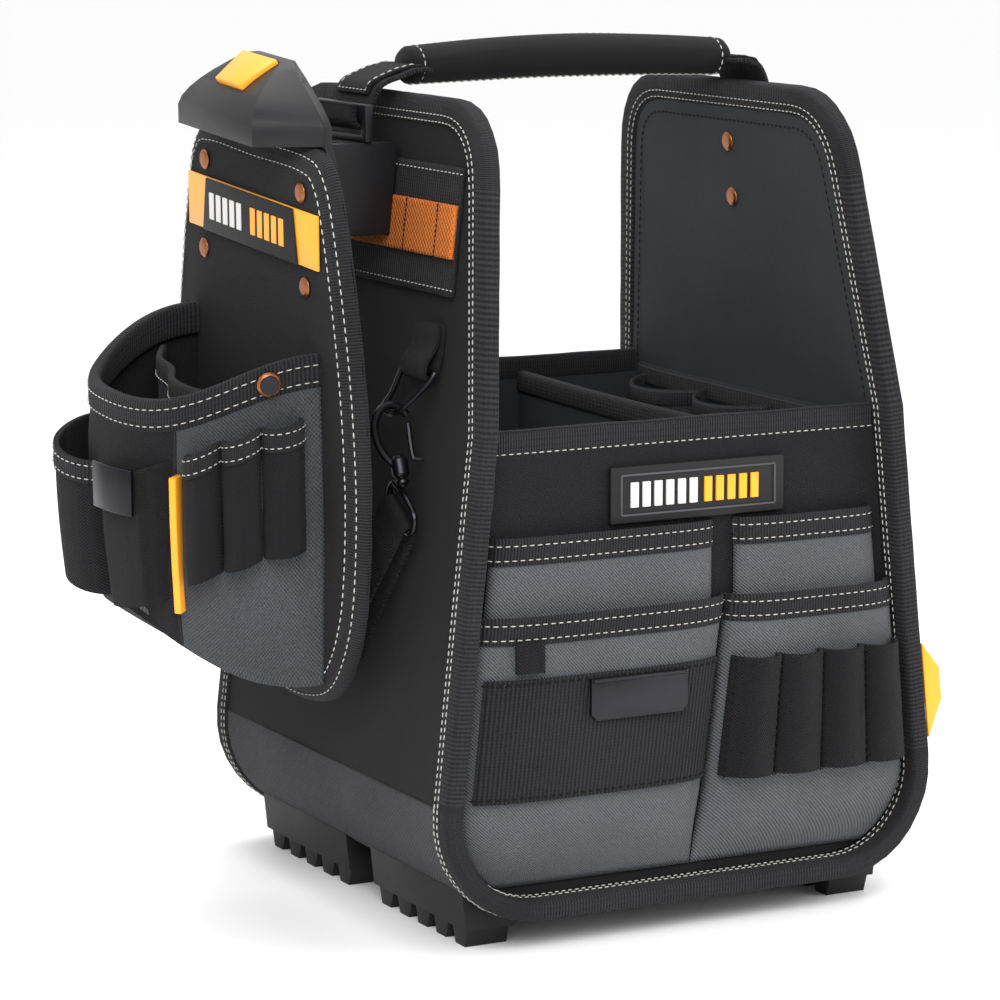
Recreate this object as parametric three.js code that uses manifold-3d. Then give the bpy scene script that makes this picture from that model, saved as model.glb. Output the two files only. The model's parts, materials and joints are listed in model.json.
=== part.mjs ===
// An open electrician's tote with a clip-on tool pouch hanging on its left wall.
// Millimetres, +Z up. The tote's front faces -Y and its left wall faces -X.
import * as THREE from 'three';
import { mergeVertices } from 'three/addons/utils/BufferGeometryUtils.js';
import Module from 'manifold-3d';

const wasm = await Module();
wasm.setup();

// ---------------------------------------------------------------- driving dimensions

// The tote's outer strip: left wall, floor and right wall in one padded U.
const floorWidth = 276; // across the outer faces, carried down to the floor's underside
const topWidth = 195; // across the outer faces at the top
const toteDepth = 265;
const topDepth = 209;
const topHeight = 397;
const hemHeight = 246;
const underside = 16; // the strip's underside above the ground, which is the feet's height
const wall = 7;
const cornerRadius = 50;
const topCorner = 40;
const bindingWidth = 14;
const bindingThickness = 10;
const gap = 0.3; // between pieces that touch

// Front and back panels, floor board and dividers.
const panelThickness = 5;
const panelRecess = 14.5; // front edge of the strip to the front panel's face
const boardThickness = 3;
const dividerThickness = 4;
const dividerTop = 238;
const dividerX = 36;
const innerPocketTop = 240;
const leftPocketStand = 26; // how far its top edge stands off the wall
const rightPocketStand = 3;
const sleeveCount = 3;
const sleeveDepth = 20;
const sleeveHeight = 60;

// Pockets on the front panel.
const cloth = 1.5;
const middleSeam = 21; // where the left pockets meet the right ones
const upperPocketTop = 196;
const upperPocketBottom = 118;
const upperStandOff = 6;
const lowerPocketTop = 160;
const lowerPocketBottom = 30;
const lowerStandOff = 14;
const webbingBottom = 74;
const webbingTop = 132;
const toolLoopBulge = 9;

// Grip and its webbing.
const gripLength = 182;
const gripHeight = topHeight + 11;
const gripWidth = 27;
const gripThickness = 21;
const gripRise = 3;
const handleWebbing = 44;
const webbingThickness = 2;
const rivetRadius = 2;
const rivetHead = 5;
const rivetHeights = [topHeight - 59, topHeight - 31];

// Feet.
const footLength = 99;
const footGap = 28;
const footWidth = 28;
const footLugs = 5;

// Bands, receiver and tether on the left wall.
const wideBand = 60;
const orangeBand = 25;
const bandHeight = topHeight - 61; // middle of both bands
const bandReach = 91;
const receiverBottom = topHeight - 67;
const receiverTop = topHeight - 23;
const receiverHalf = 27;
const tongueHalf = 19.5;
const tongueThickness = 7.4;
const neckHalf = 8.5;
const slideClearance = 0.5;
const tetherWebbing = 25;

// The pouch, in its own frame: X across, Y outwards, Z up.
const pouchStandOff = 18.8; // back of the receiver's slot to the pouch's edge plane, at its foot
const pouchFoot = topHeight - 278;
const pouchTilt = 2.5;
const pouchRoll = 4;
const pouchHang = 250; // height on the pouch that it rolls about
const pouchFace = 9.7;
const pouchPlate = 5.7;
const pouchEdge = 13;
const bagHalfWidth = 70;
const bagDepth = 86;
const bagCloth = 2.2;
const rimFront = 144;
const rimRise = 22;
const rimTape = 15;
const bagLoopBulge = 13;
const bagLoopHeight = 62;

// ---------------------------------------------------------------- colours

const black = { color: 0x18181a, roughness: 0.9, metalness: 0 };
const tape = { color: 0x1e1e20, roughness: 0.85, metalness: 0 };
const grey = { color: 0x54575c, roughness: 0.9, metalness: 0 };
const lining = { color: 0x2b2f34, roughness: 0.6, metalness: 0 };
const trim = { color: 0x333336, roughness: 0.85, metalness: 0 };
const webbing = { color: 0x141415, roughness: 0.8, metalness: 0 };
const orangeWebbing = { color: 0xd9641a, roughness: 0.8, metalness: 0 };
const orangePlastic = { color: 0xf7a11c, roughness: 0.45, metalness: 0 };
const blackPlastic = { color: 0x222226, roughness: 0.45, metalness: 0 };
const rubber = { color: 0x1a1a1c, roughness: 0.7, metalness: 0 };
const darkSteel = { color: 0x2a2a2c, roughness: 0.3, metalness: 0.9 };
const copper = { color: 0x9a5a34, roughness: 0.4, metalness: 0.9 };

// ---------------------------------------------------------------- making solids

const radians = THREE.MathUtils.degToRad;
const lerp = THREE.MathUtils.lerp;

function named(name, geometry, finish) {
  const mesh = new THREE.Mesh(geometry, new THREE.MeshStandardMaterial(finish));
  mesh.name = name;
  return mesh;
}

/** The same surface with shared corners merged and flat triangles left out. */
function welded(geometry) {
  const bare = geometry.index ? geometry.toNonIndexed() : geometry.clone();
  bare.deleteAttribute('normal');
  bare.deleteAttribute('uv');
  const merged = mergeVertices(bare, 1e-3);
  const kept = [];
  const index = merged.index.array;
  for (let i = 0; i < index.length; i += 3) {
    const [a, b, c] = [index[i], index[i + 1], index[i + 2]];
    if (a !== b && b !== c && c !== a) kept.push(a, b, c);
  }
  merged.setIndex(kept);
  return merged;
}

/** Turns the faces round if the volume they enclose is negative. */
function facingOut(geometry) {
  const p = geometry.attributes.position;
  const index = geometry.index.array;
  const [a, b, c] = [new THREE.Vector3(), new THREE.Vector3(), new THREE.Vector3()];
  let volume = 0;
  for (let i = 0; i < index.length; i += 3) {
    a.fromBufferAttribute(p, index[i]);
    b.fromBufferAttribute(p, index[i + 1]);
    c.fromBufferAttribute(p, index[i + 2]);
    volume += a.dot(b.cross(c));
  }
  if (volume < 0) {
    for (let i = 0; i < index.length; i += 3) {
      [index[i + 1], index[i + 2]] = [index[i + 2], index[i + 1]];
    }
  }
  return geometry;
}

function toManifold(geometry) {
  const merged = welded(geometry);
  return new wasm.Manifold(new wasm.Mesh({
    numProp: 3,
    vertProperties: merged.attributes.position.array,
    triVerts: Uint32Array.from(merged.index.array),
  }));
}

function fromManifold(solid) {
  const mesh = solid.getMesh();
  const geometry = new THREE.BufferGeometry();
  geometry.setAttribute('position', new THREE.BufferAttribute(mesh.vertProperties, 3));
  geometry.setIndex(Array.from(mesh.triVerts));
  geometry.computeVertexNormals();
  return geometry;
}

function cut(geometry, ...tools) {
  return fromManifold(tools.reduce((solid, tool) => solid.subtract(toManifold(tool)), toManifold(geometry)));
}

function join(...geometries) {
  const [first, ...rest] = geometries.map(toManifold);
  return fromManifold(rest.reduce((solid, part) => solid.add(part), first));
}

/** A sheet with thickness: two grids of points, joined round their edges. */
function sheet(nu, nv, outside, inside, ring = false) {
  const columns = ring ? nu : nu + 1;
  const positions = [];
  for (const side of [outside, inside]) {
    for (let i = 0; i < columns; i++) {
      for (let j = 0; j <= nv; j++) positions.push(...side(i / nu, j / nv));
    }
  }
  const at = (side, i, j) => (side * columns + (i % columns)) * (nv + 1) + j;
  const index = [];
  const quad = (a, b, c, d) => index.push(a, b, c, a, c, d);
  for (let i = 0; i < nu; i++) {
    for (let j = 0; j < nv; j++) {
      quad(at(0, i, j), at(0, i + 1, j), at(0, i + 1, j + 1), at(0, i, j + 1));
      quad(at(1, i, j), at(1, i, j + 1), at(1, i + 1, j + 1), at(1, i + 1, j));
    }
    quad(at(0, i, 0), at(1, i, 0), at(1, i + 1, 0), at(0, i + 1, 0));
    quad(at(0, i, nv), at(0, i + 1, nv), at(1, i + 1, nv), at(1, i, nv));
  }
  for (let j = 0; !ring && j < nv; j++) {
    quad(at(0, 0, j), at(0, 0, j + 1), at(1, 0, j + 1), at(1, 0, j));
    quad(at(0, nu, j), at(1, nu, j), at(1, nu, j + 1), at(0, nu, j + 1));
  }
  const geometry = new THREE.BufferGeometry();
  geometry.setAttribute('position', new THREE.Float32BufferAttribute(positions, 3));
  geometry.setIndex(index);
  return facingOut(welded(geometry));
}

/** A solid through sections that are convex loops of points, with flat ends or closed into a ring. */
function loft(sections, ring = false) {
  const sides = sections[0].length;
  const index = [];
  const last = ring ? sections.length : sections.length - 1;
  for (let i = 0; i < last; i++) {
    for (let j = 0; j < sides; j++) {
      const [a, b] = [i * sides + j, i * sides + (j + 1) % sides];
      const [c, d] = [a, b].map((corner) => (corner + sides) % (sections.length * sides));
      index.push(a, d, b, a, c, d);
    }
  }
  for (let j = 1; !ring && j < sides - 1; j++) {
    const end = last * sides;
    index.push(0, j, j + 1, end, end + j + 1, end + j);
  }
  const geometry = new THREE.BufferGeometry();
  geometry.setAttribute('position', new THREE.Float32BufferAttribute(sections.flat(2), 3));
  geometry.setIndex(index);
  return facingOut(welded(geometry));
}

/** Flat webbing along a curve, its width along a fixed direction. */
function strapAlong(curve, across, width, thickness, steps, ring = false) {
  const side = across.clone().normalize();
  const place = (lift) => (u, v) => {
    const t = ring ? u % 1 : u;
    const normal = curve.getTangent(t).cross(side).normalize();
    return curve.getPoint(t).addScaledVector(normal, lift).addScaledVector(side, (v - 0.5) * width).toArray();
  };
  return sheet(steps, 1, place(thickness / 2), place(-thickness / 2), ring);
}

function curveThrough(points, closed = false) {
  return new THREE.CatmullRomCurve3(points.map((p) => new THREE.Vector3(...p)), closed, 'centripetal');
}

/** A round bar along a curve. */
function barAlong(curve, radius, steps, sides = 8) {
  const section = new THREE.Shape();
  section.absarc(0, 0, radius, 0, Math.PI * 2);
  return new THREE.ExtrudeGeometry(section, { steps, extrudePath: curve, curveSegments: sides / 4 * 2 });
}

function box(x0, x1, y0, y1, z0, z1) {
  return new THREE.BoxGeometry(x1 - x0, y1 - y0, z1 - z0).translate((x0 + x1) / 2, (y0 + y1) / 2, (z0 + z1) / 2);
}

/** An outline drawn in X and Z, from y0 to y1. */
function extrudeAlongY(shape, y0, y1, curveSegments = 8) {
  const geometry = new THREE.ExtrudeGeometry(shape, { depth: y1 - y0, bevelEnabled: false, curveSegments });
  return geometry.rotateX(Math.PI / 2).translate(0, y1, 0);
}

/** An outline drawn in Y and Z, from x0 to x1. */
function extrudeAlongX(shape, x0, x1, curveSegments = 8) {
  const geometry = new THREE.ExtrudeGeometry(shape, { depth: x1 - x0, bevelEnabled: false, curveSegments });
  return geometry.rotateY(Math.PI / 2).rotateX(Math.PI / 2).translate(x0, 0, 0);
}

/** A rivet along +X: a shank with a head at each end. */
function rivet(length, shank = rivetRadius, head = rivetHead, headHeight = 1.6) {
  const profile = [
    [0, -headHeight], [head * 0.7, -headHeight], [head, -headHeight * 0.4], [head, 0], [shank, 0],
    [shank, length], [head, length], [head, length + headHeight * 0.4], [head * 0.7, length + headHeight],
    [0, length + headHeight],
  ].map(([r, h]) => new THREE.Vector2(r, h));
  return facingOut(welded(new THREE.LatheGeometry(profile, 12).rotateZ(-Math.PI / 2)));
}

/** A drill along X that clears a rivet's shank. */
function drill(y, z, x0, x1) {
  const radius = rivetRadius + gap;
  return new THREE.CylinderGeometry(radius, radius, x1 - x0, 12).rotateZ(Math.PI / 2).translate((x0 + x1) / 2, y, z);
}

// ---------------------------------------------------------------- the tote's outline

const leanSlope = (floorWidth - topWidth) / 2 / (topHeight - underside);
const lean = Math.atan(leanSlope);
const up = (height) => (height - underside) / Math.cos(lean); // distance up the wall
const outerHalf = (z) => floorWidth / 2 - leanSlope * (z - underside);

/** Where the round lower corner of a U offset inwards by `inset` starts and ends. */
function corner(inset) {
  const tangent = cornerRadius / Math.tan((Math.PI / 2 - lean) / 2);
  const centreX = floorWidth / 2 - tangent;
  const centreZ = underside + cornerRadius;
  const radius = cornerRadius - inset;
  return { centreX, centreZ, radius, wallZ: centreZ + radius * Math.sin(lean), tangent };
}

/** Half the width inside a U offset inwards by `inset`, at a height. */
function insideHalf(z, inset) {
  const c = corner(inset);
  if (z < c.wallZ) {
    const drop = Math.min(c.radius, Math.max(0, c.centreZ - z));
    return c.centreX + Math.sqrt(Math.max(0, c.radius ** 2 - drop ** 2));
  }
  return outerHalf(z) - inset / Math.cos(lean);
}

/** The open U that the strip's lower part follows, offset inwards by `inset`, from left to right. */
function lowerU(inset, segments = 8) {
  const c = corner(inset);
  const points = [];
  for (let i = 0; i <= segments; i++) {
    const angle = lerp(Math.PI - lean, Math.PI * 1.5, i / segments);
    points.push(new THREE.Vector2(-c.centreX + c.radius * Math.cos(angle), c.centreZ + c.radius * Math.sin(angle)));
  }
  return [...points, ...points.slice().reverse().map((p) => new THREE.Vector2(-p.x, p.y))];
}

function lowerTrough(inset, thickness, y0, y1) {
  const outline = [...lowerU(inset), ...lowerU(inset + thickness).reverse()];
  return extrudeAlongY(new THREE.Shape(outline), y0, y1);
}

/** A side wall's outline in Y and distance up the wall, from bottom front round to bottom back. */
function sideOutline(inset, bottom) {
  const path = new THREE.Path();
  const half = toteDepth / 2 - inset;
  const topHalf = topDepth / 2 - inset;
  const [hem, top] = [up(hemHeight), up(topHeight) - inset];
  const taper = (half - topHalf) / (top - hem);
  const radius = topCorner - inset;
  path.moveTo(-half, bottom);
  path.lineTo(-half, hem);
  path.lineTo(-topHalf - taper * radius, top - radius);
  path.quadraticCurveTo(-topHalf, top, -topHalf + radius, top);
  path.lineTo(topHalf - radius, top);
  path.quadraticCurveTo(topHalf, top, topHalf + taper * radius, top - radius);
  path.lineTo(half, hem);
  path.lineTo(half, bottom);
  return path.getPoints(6);
}

const sideBottom = corner(0).tangent + gap;
const proud = (bindingThickness - wall) / 2;

function sidePanel() {
  return extrudeAlongX(new THREE.Shape(sideOutline(bindingWidth + gap, sideBottom)), 0, wall);
}

// Each side wall's own frame has X inwards, Y along the wall and Z up it, from the floor's level.
const leftSide = new THREE.Group();
leftSide.position.set(-floorWidth / 2, 0, underside);
leftSide.rotation.y = lean;
const rightSide = new THREE.Group();
rightSide.rotation.z = Math.PI;
const rightLean = new THREE.Group();
rightLean.position.set(-floorWidth / 2, 0, underside);
rightLean.rotation.y = lean;
rightSide.add(rightLean);

const tote = new THREE.Group();
tote.add(leftSide, rightSide);

const bandLift = 2 * (webbingThickness + gap); // both bands, lying on the wall
const panelDrills = rivetHeights.map((z) => drill(0, up(z), -2, wall + 2));
leftSide.add(named('left_side_panel', cut(sidePanel(), ...panelDrills), black));
rightLean.add(named('right_side_panel', cut(sidePanel(), ...panelDrills), lining));

// One binding runs round the whole strip: under the floor's two edges and over both walls' tops.
const frontEdge = -toteDepth / 2;
const innerEdge = frontEdge + bindingWidth;
tote.add(named('base_wrap', lowerTrough(0, wall, innerEdge + gap, -innerEdge - gap), trim));
tote.updateMatrixWorld(true);

/** The binding's sections under one edge of the floor, from left to right. */
function bindingBelow(edge, inner) {
  const outerFace = lowerU(-proud);
  const innerFace = lowerU(bindingThickness - proud);
  return outerFace.map((p, i) => {
    const q = innerFace[i];
    return [[p.x, edge, p.y], [p.x, inner, p.y], [q.x, inner, q.y], [q.x, edge, q.y]];
  });
}

/** The binding's sections round one side wall, from its bottom front over the top. */
function bindingRound(side) {
  const bottom = sideBottom + 1;
  const edge = sideOutline(0, bottom);
  const inner = sideOutline(bindingWidth, bottom);
  return edge.map((p, i) => {
    const q = inner[i];
    const section = [[-proud, p.x, p.y], [-proud, q.x, q.y], [wall + proud, q.x, q.y], [wall + proud, p.x, p.y]];
    return section.map((point) => new THREE.Vector3(...point).applyMatrix4(side.matrixWorld).toArray());
  });
}
tote.add(named('edge_binding', loft([
  ...bindingBelow(frontEdge, innerEdge),
  ...bindingRound(rightLean).reverse(),
  ...bindingBelow(-frontEdge, -innerEdge).reverse(),
  ...bindingRound(leftSide).reverse(),
], true), tape));

// ---------------------------------------------------------------- front and back panels, floor and dividers

const panelFace = frontEdge + panelRecess; // Y of the front panel's outer face
const panelBack = panelFace + panelThickness;

function endPanel() {
  const inset = wall + proud + gap;
  const outline = lowerU(inset);
  const hemHalf = insideHalf(hemHeight, inset);
  outline.unshift(new THREE.Vector2(-hemHalf, hemHeight));
  outline.push(new THREE.Vector2(hemHalf, hemHeight));
  return extrudeAlongY(new THREE.Shape(outline), panelFace, panelBack);
}

tote.add(named('front_panel', endPanel(), black));
const backPanel = named('back_panel', endPanel(), black);
backPanel.rotation.z = Math.PI;
tote.add(backPanel);

const roomHalf = -panelBack - gap; // inside the tote, front to back
const floorTop = underside + wall;
const boardTop = floorTop + gap + boardThickness;
const boardHalf = corner(wall).centreX - 4;
tote.add(named('floor_board', box(-boardHalf, boardHalf, -roomHalf, roomHalf, floorTop + gap, boardTop), rubber));

/** The long divider: a padded sheet that bows a little towards the left. */
function longDivider() {
  const bow = 4;
  const side = (offset) => (u, v) => [
    dividerX + offset - bow * Math.sin(Math.PI * u) * v,
    lerp(-roomHalf, roomHalf, u),
    lerp(boardTop + gap, dividerTop, v),
  ];
  return sheet(8, 3, side(-dividerThickness / 2), side(dividerThickness / 2));
}
tote.add(named('long_divider', longDivider(), lining));

/** An inner pocket sewn on a side wall: it stands further off the wall towards its top. */
const sidePocketBottom = sideBottom + 4;
const sidePocketTop = up(innerPocketTop);

function innerPocket(half, standOff) {
  const face = (lift) => (u, v) => {
    const edge = 1 - (2 * u - 1) ** 6;
    const stand = gap + standOff * v * edge;
    return [wall + stand + lift, lerp(-half, half, u), lerp(sidePocketBottom, sidePocketTop, v)];
  };
  return sheet(12, 4, face(cloth), face(0));
}
const pocketHalf = roomHalf - 3;
leftSide.add(named('left_inner_pocket', innerPocket(pocketHalf, leftPocketStand), lining));
rightLean.add(named('right_inner_pocket', innerPocket(pocketHalf, rightPocketStand), lining));

/** One band sewn down between its loops, which makes a row of U-shaped tool sleeves. */
function toolSleeves() {
  const base = wall + rightPocketStand + cloth + 2 * gap;
  const reach = (u) => sleeveDepth * Math.abs(Math.sin(Math.PI * sleeveCount * u)) ** 0.6;
  const face = (lift) => (u, v) => [
    base + lift + reach(u),
    lerp(-pocketHalf + 12, pocketHalf - 12, u),
    lerp(sidePocketTop - 4 - sleeveHeight, sidePocketTop - 4, v),
  ];
  return sheet(14 * sleeveCount, 1, face(cloth), face(0));
}
rightLean.add(named('tool_sleeves', toolSleeves(), lining));

// ---------------------------------------------------------------- feet

const footInset = -5; // how far a foot reaches under the flat of the floor

/** A rubber foot: a pad under the strip's rounded edge with a row of lugs. */
function foot() {
  const inner = corner(0).centreX - footInset;
  const outer = inner + footWidth;
  const steps = 5;
  const outline = [new THREE.Vector2(inner, underside - gap)];
  for (let i = 0; i <= steps; i++) {
    const x = lerp(corner(0).centreX, outer, i / steps);
    const z = corner(0).centreZ - Math.sqrt((cornerRadius + gap) ** 2 - (x - corner(0).centreX) ** 2);
    outline.push(new THREE.Vector2(x, z));
  }
  const padBottom = underside - 7;
  outline.push(new THREE.Vector2(outer - 2, padBottom), new THREE.Vector2(inner, padBottom));
  const pad = extrudeAlongY(new THREE.Shape(outline), -footLength / 2, footLength / 2);
  const pitch = footLength / footLugs;
  const lugs = [];
  for (let i = 0; i < footLugs; i++) {
    const middle = (i - (footLugs - 1) / 2) * pitch;
    const wide = pitch * 0.42;
    const lug = (offset) => (u, v) => [
      lerp(inner + 2, outer - 4, v),
      middle + (2 * u - 1) * (offset ? wide * 0.6 : wide),
      offset ? 0 : padBottom + 1,
    ];
    lugs.push(sheet(1, 1, lug(false), lug(true)));
  }
  return join(pad, ...lugs);
}

const footShape = foot();
for (const [side, turn] of [['right', 0], ['left', Math.PI]]) {
  for (const [end, direction] of [['front', -1], ['back', 1]]) {
    const mesh = named(`foot_${end}_${side}`, footShape, rubber);
    mesh.rotation.z = turn;
    mesh.position.y = direction * (footLength + footGap) / 2;
    tote.add(mesh);
  }
}

// ---------------------------------------------------------------- pockets and trim on the front

const pocketInset = wall + proud + 2 * gap;

/** How far a pocket stands off the panel across its width: none at its sides, nearly all in between. */
const fullness = (u) => Math.sqrt(Math.max(0, 1 - Math.abs(2 * u - 1) ** 4));
const rise = (v) => Math.sin(Math.min(1, v / 0.35) * Math.PI / 2);

function pocketFace({ left, right, bottom, top, standOff }) {
  return (lift) => (u, v) => {
    const z = lerp(bottom, top, v);
    const x = lerp(left(z), right(z), u);
    return [x, panelFace - gap - lift - standOff * fullness(u) * rise(v), z];
  };
}

function pocket(layout) {
  const face = pocketFace(layout);
  return sheet(16, 8, face(cloth), face(0));
}

const leftEdge = (inset) => (z) => -insideHalf(z, pocketInset) + inset;
const rightEdge = (inset) => (z) => insideHalf(z, pocketInset) - inset;
const seamLean = 0.13; // the middle seam runs down to the left
const seamAt = (offset) => (z) => middleSeam + offset - seamLean * Math.max(0, lowerPocketTop - z);
const nest = 6; // an upper pocket sits this far inside the lower one that covers its foot

const upper = { bottom: upperPocketBottom, top: upperPocketTop, standOff: upperStandOff };
const lower = { bottom: lowerPocketBottom, top: lowerPocketTop, standOff: lowerStandOff };
const layouts = {
  front_pocket_upper_left: { ...upper, left: leftEdge(nest), right: seamAt(-nest) },
  front_pocket_upper_right: { ...upper, left: seamAt(nest), right: rightEdge(nest) },
  front_pocket_lower_left: { ...lower, left: leftEdge(gap), right: seamAt(-gap) },
  front_pocket_lower_right: { ...lower, left: seamAt(gap), right: rightEdge(gap) },
};
for (const [name, layout] of Object.entries(layouts)) tote.add(named(name, pocket(layout), grey));

/** A band of webbing over a lower pocket, lying flat or standing off it in loops. */
function bandOver(layout, bottom, top, from, to, bulge, steps) {
  const face = pocketFace(layout);
  const heightShare = (z) => (z - layout.bottom) / (layout.top - layout.bottom);
  const side = (lift) => (u, v) => face(2 * gap + cloth + lift + bulge(u))(lerp(from, to, u), heightShare(lerp(bottom, top, v)));
  return sheet(steps, 3, side(webbingThickness), side(0));
}

const flat = () => 0;
tote.add(named('front_webbing_band',
  bandOver(layouts.front_pocket_lower_left, webbingBottom, webbingTop, 0.03, 0.97, flat, 15), webbing));

const loopCount = 4;
const loopShape = (count, bulge) => (u) => bulge * Math.abs(Math.sin(Math.PI * count * u)) ** 0.55;
tote.add(named('front_loop_band',
  bandOver(layouts.front_pocket_lower_right, webbingBottom, webbingTop, 0.03, 0.97,
    loopShape(loopCount, toolLoopBulge), 48), webbing));

const bandSurface = panelFace - gap - lowerStandOff - 2 * cloth - webbingThickness;
const plateOutline = new THREE.Shape();
plateOutline.moveTo(-26, 10);
plateOutline.lineTo(-26, -7);
plateOutline.lineTo(-23, -10);
plateOutline.lineTo(23, -10);
plateOutline.lineTo(26, -7);
plateOutline.lineTo(26, 10);
tote.add(named('tape_clip_plate',
  extrudeAlongY(plateOutline, bandSurface - 2.4, bandSurface - gap).translate(-35, 0, webbingTop - 12), darkSteel));

const badgeHalf = 47.5;
const badgeOutline = new THREE.Shape();
badgeOutline.moveTo(-badgeHalf, -13.5);
badgeOutline.lineTo(badgeHalf, -13.5);
badgeOutline.lineTo(badgeHalf, 13.5);
badgeOutline.lineTo(-badgeHalf, 13.5);
tote.add(named('front_badge',
  extrudeAlongY(badgeOutline, panelFace - gap - 3, panelFace - gap).translate(6.5, 0, 212), rubber));

const tagShape = new THREE.Shape();
tagShape.moveTo(0, -24);
tagShape.lineTo(0, 24);
tagShape.lineTo(9, 10);
tagShape.lineTo(9, -6);
const tag = named('side_tag', extrudeAlongY(tagShape, frontEdge + 1, frontEdge + 3), orangePlastic);
tag.position.set(outerHalf(104) + proud + gap, 0, 104);
tag.rotation.y = -lean;
tote.add(tag);

// ---------------------------------------------------------------- grip and its webbing

const gripHalf = gripLength / 2;

function grip() {
  const sections = [];
  const steps = 10;
  const sides = 16;
  for (let i = 0; i <= steps; i++) {
    const arch = Math.sin(Math.PI * i / steps);
    const belly = 0.84 + 0.16 * arch;
    const x = lerp(-gripHalf, gripHalf, i / steps);
    const loop = [];
    for (let j = 0; j < sides; j++) {
      const angle = j / sides * Math.PI * 2;
      const z = gripHeight + gripRise * arch + belly * gripThickness / 2 * Math.sin(angle);
      loop.push([x, belly * gripWidth / 2 * Math.cos(angle), z]);
    }
    sections.push(loop);
  }
  return loft(sections);
}

const yAxis = new THREE.Vector3(0, 1, 0);
const wallTop = topHeight + proud;
const webLift = webbingThickness / 2 + 2 * gap;
/** A wall's outer face, `lift` outside it, at a height. */
const outside = (z, lift) => outerHalf(z) + lift / Math.cos(lean);

// The right webbing runs from the grip over the wall's top and down its outer face.
const rightWebPath = curveThrough([
  [gripHalf + gap + 0.5, 0, gripHeight - 1],
  [gripHalf + 4, 0, gripHeight - 2.5],
  [outside(topHeight, proud), 0, wallTop + webLift + 2],
  [outside(topHeight - 4, proud + webLift + 2), 0, topHeight - 3],
  [outside(topHeight - 14, webLift + 1.5), 0, topHeight - 16],
  [outside(rivetHeights[1] + 4, webLift), 0, rivetHeights[1] + 4],
  [outside(rivetHeights[0] - 14, webLift), 0, rivetHeights[0] - 14],
]);
const outerWebFace = -2 * gap - webbingThickness;
const webHole = (z) => drill(0, up(z), outerWebFace - 6, wall + 2)
  .applyMatrix4(new THREE.Matrix4().makeRotationY(lean)).translate(-floorWidth / 2, 0, underside).rotateZ(Math.PI);
tote.add(named('handle_webbing_right',
  cut(strapAlong(rightWebPath, yAxis, handleWebbing, webbingThickness, 18), ...rivetHeights.map(webHole)), webbing));

// The left webbing bows outwards to the receiver's yoke, passes through it and is sewn back.
const yokeZ = topHeight - 11;
const yokeX = -outside(yokeZ, 22.2);
const leftWebPath = curveThrough([
  [-gripHalf - gap - 0.5, 0, gripHeight - 1],
  [-gripHalf - 4, 0, gripHeight - 2],
  [-outside(topHeight, proud), 0, wallTop + webLift + 3],
  [yokeX + 10, 0, yokeZ + 14],
  [yokeX + 4.6, 0, yokeZ + 3],
  [yokeX + 3.6, 0, yokeZ - 3.6],
  [yokeX, 0, yokeZ - 5.6],
  [yokeX - 4, 0, yokeZ - 2],
  [yokeX - 4.4, 0, yokeZ + 6],
]);
tote.add(named('handle_webbing_left', strapAlong(leftWebPath, yAxis, handleWebbing, webbingThickness, 26), webbing));

/** The grip's cover runs on as a flat flap over the webbing at each end. */
function gripFlap(path) {
  const width = 34;
  const lift = webbingThickness / 2 + gap + 0.9;
  const points = [0.02, 0.1, 0.18, 0.26, 0.34].map((t) => {
    const normal = path.getTangent(t).cross(yAxis).normalize();
    if (normal.z < 0) normal.negate();
    return path.getPoint(t).addScaledVector(normal, lift).toArray();
  });
  const [x, , z] = points[0];
  points.unshift([x - Math.sign(x) * 6, 0, z]); // its root is inside the grip
  return strapAlong(curveThrough(points), yAxis, width, 1.4, 6);
}
tote.add(named('handle_grip', join(grip(), gripFlap(rightWebPath), gripFlap(leftWebPath)), black));

// Rivets through the right wall and its webbing.
const rightStack = wall + webbingThickness + 3 * gap + gap;
rivetHeights.forEach((z, i) => {
  const mesh = named(`handle_rivet_${i + 1}`, rivet(rightStack), copper);
  mesh.position.set(outerWebFace - gap, 0, up(z));
  rightLean.add(mesh);
});

// ---------------------------------------------------------------- fittings on the left wall

function wallBand(height, lift, reach) {
  const middle = up(bandHeight);
  return box(-lift - webbingThickness, -lift, -reach, reach, middle - height / 2, middle + height / 2);
}
const bandDrills = rivetHeights.map((z) => drill(0, up(z), -12, 2));
leftSide.add(named('wide_wall_band', cut(wallBand(wideBand, gap, bandReach), ...bandDrills), webbing));
leftSide.add(named('orange_wall_band',
  cut(wallBand(orangeBand, 2 * gap + webbingThickness, bandReach), ...bandDrills), orangeWebbing));

// The receiver: a block with an upright T slot, open at its top, that the pouch's tongue drops into.
const slotBack = -outside(receiverTop, 28.9);
const slotFront = slotBack - tongueThickness - 2 * slideClearance;
const receiverFace = slotFront - 4.5;
const slotFloor = receiverBottom + 4;

function receiver() {
  const body = new THREE.Shape();
  body.moveTo(-outside(receiverBottom, bandLift + gap), receiverBottom);
  body.lineTo(-outside(receiverTop, bandLift + gap), receiverTop);
  body.lineTo(receiverFace, receiverTop);
  body.lineTo(receiverFace, receiverBottom + 6);
  body.lineTo(receiverFace + 6, receiverBottom);
  const block = extrudeAlongY(body, -receiverHalf, receiverHalf);
  const wide = tongueHalf + slideClearance;
  const narrow = neckHalf + slideClearance;
  const slot = box(slotFront, slotBack, -wide, wide, slotFloor, receiverTop + 5);
  const mouth = box(receiverFace - 5, slotFront + 1, -narrow, narrow, slotFloor, receiverTop + 5);
  const holes = rivetHeights.map((z) => drill(0, up(z), -28, 2)
    .applyMatrix4(new THREE.Matrix4().makeRotationY(lean)).translate(-floorWidth / 2, 0, underside));
  return cut(block, slot, mouth, ...holes);
}
tote.add(named('hub_receiver', receiver(), blackPlastic));

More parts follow.
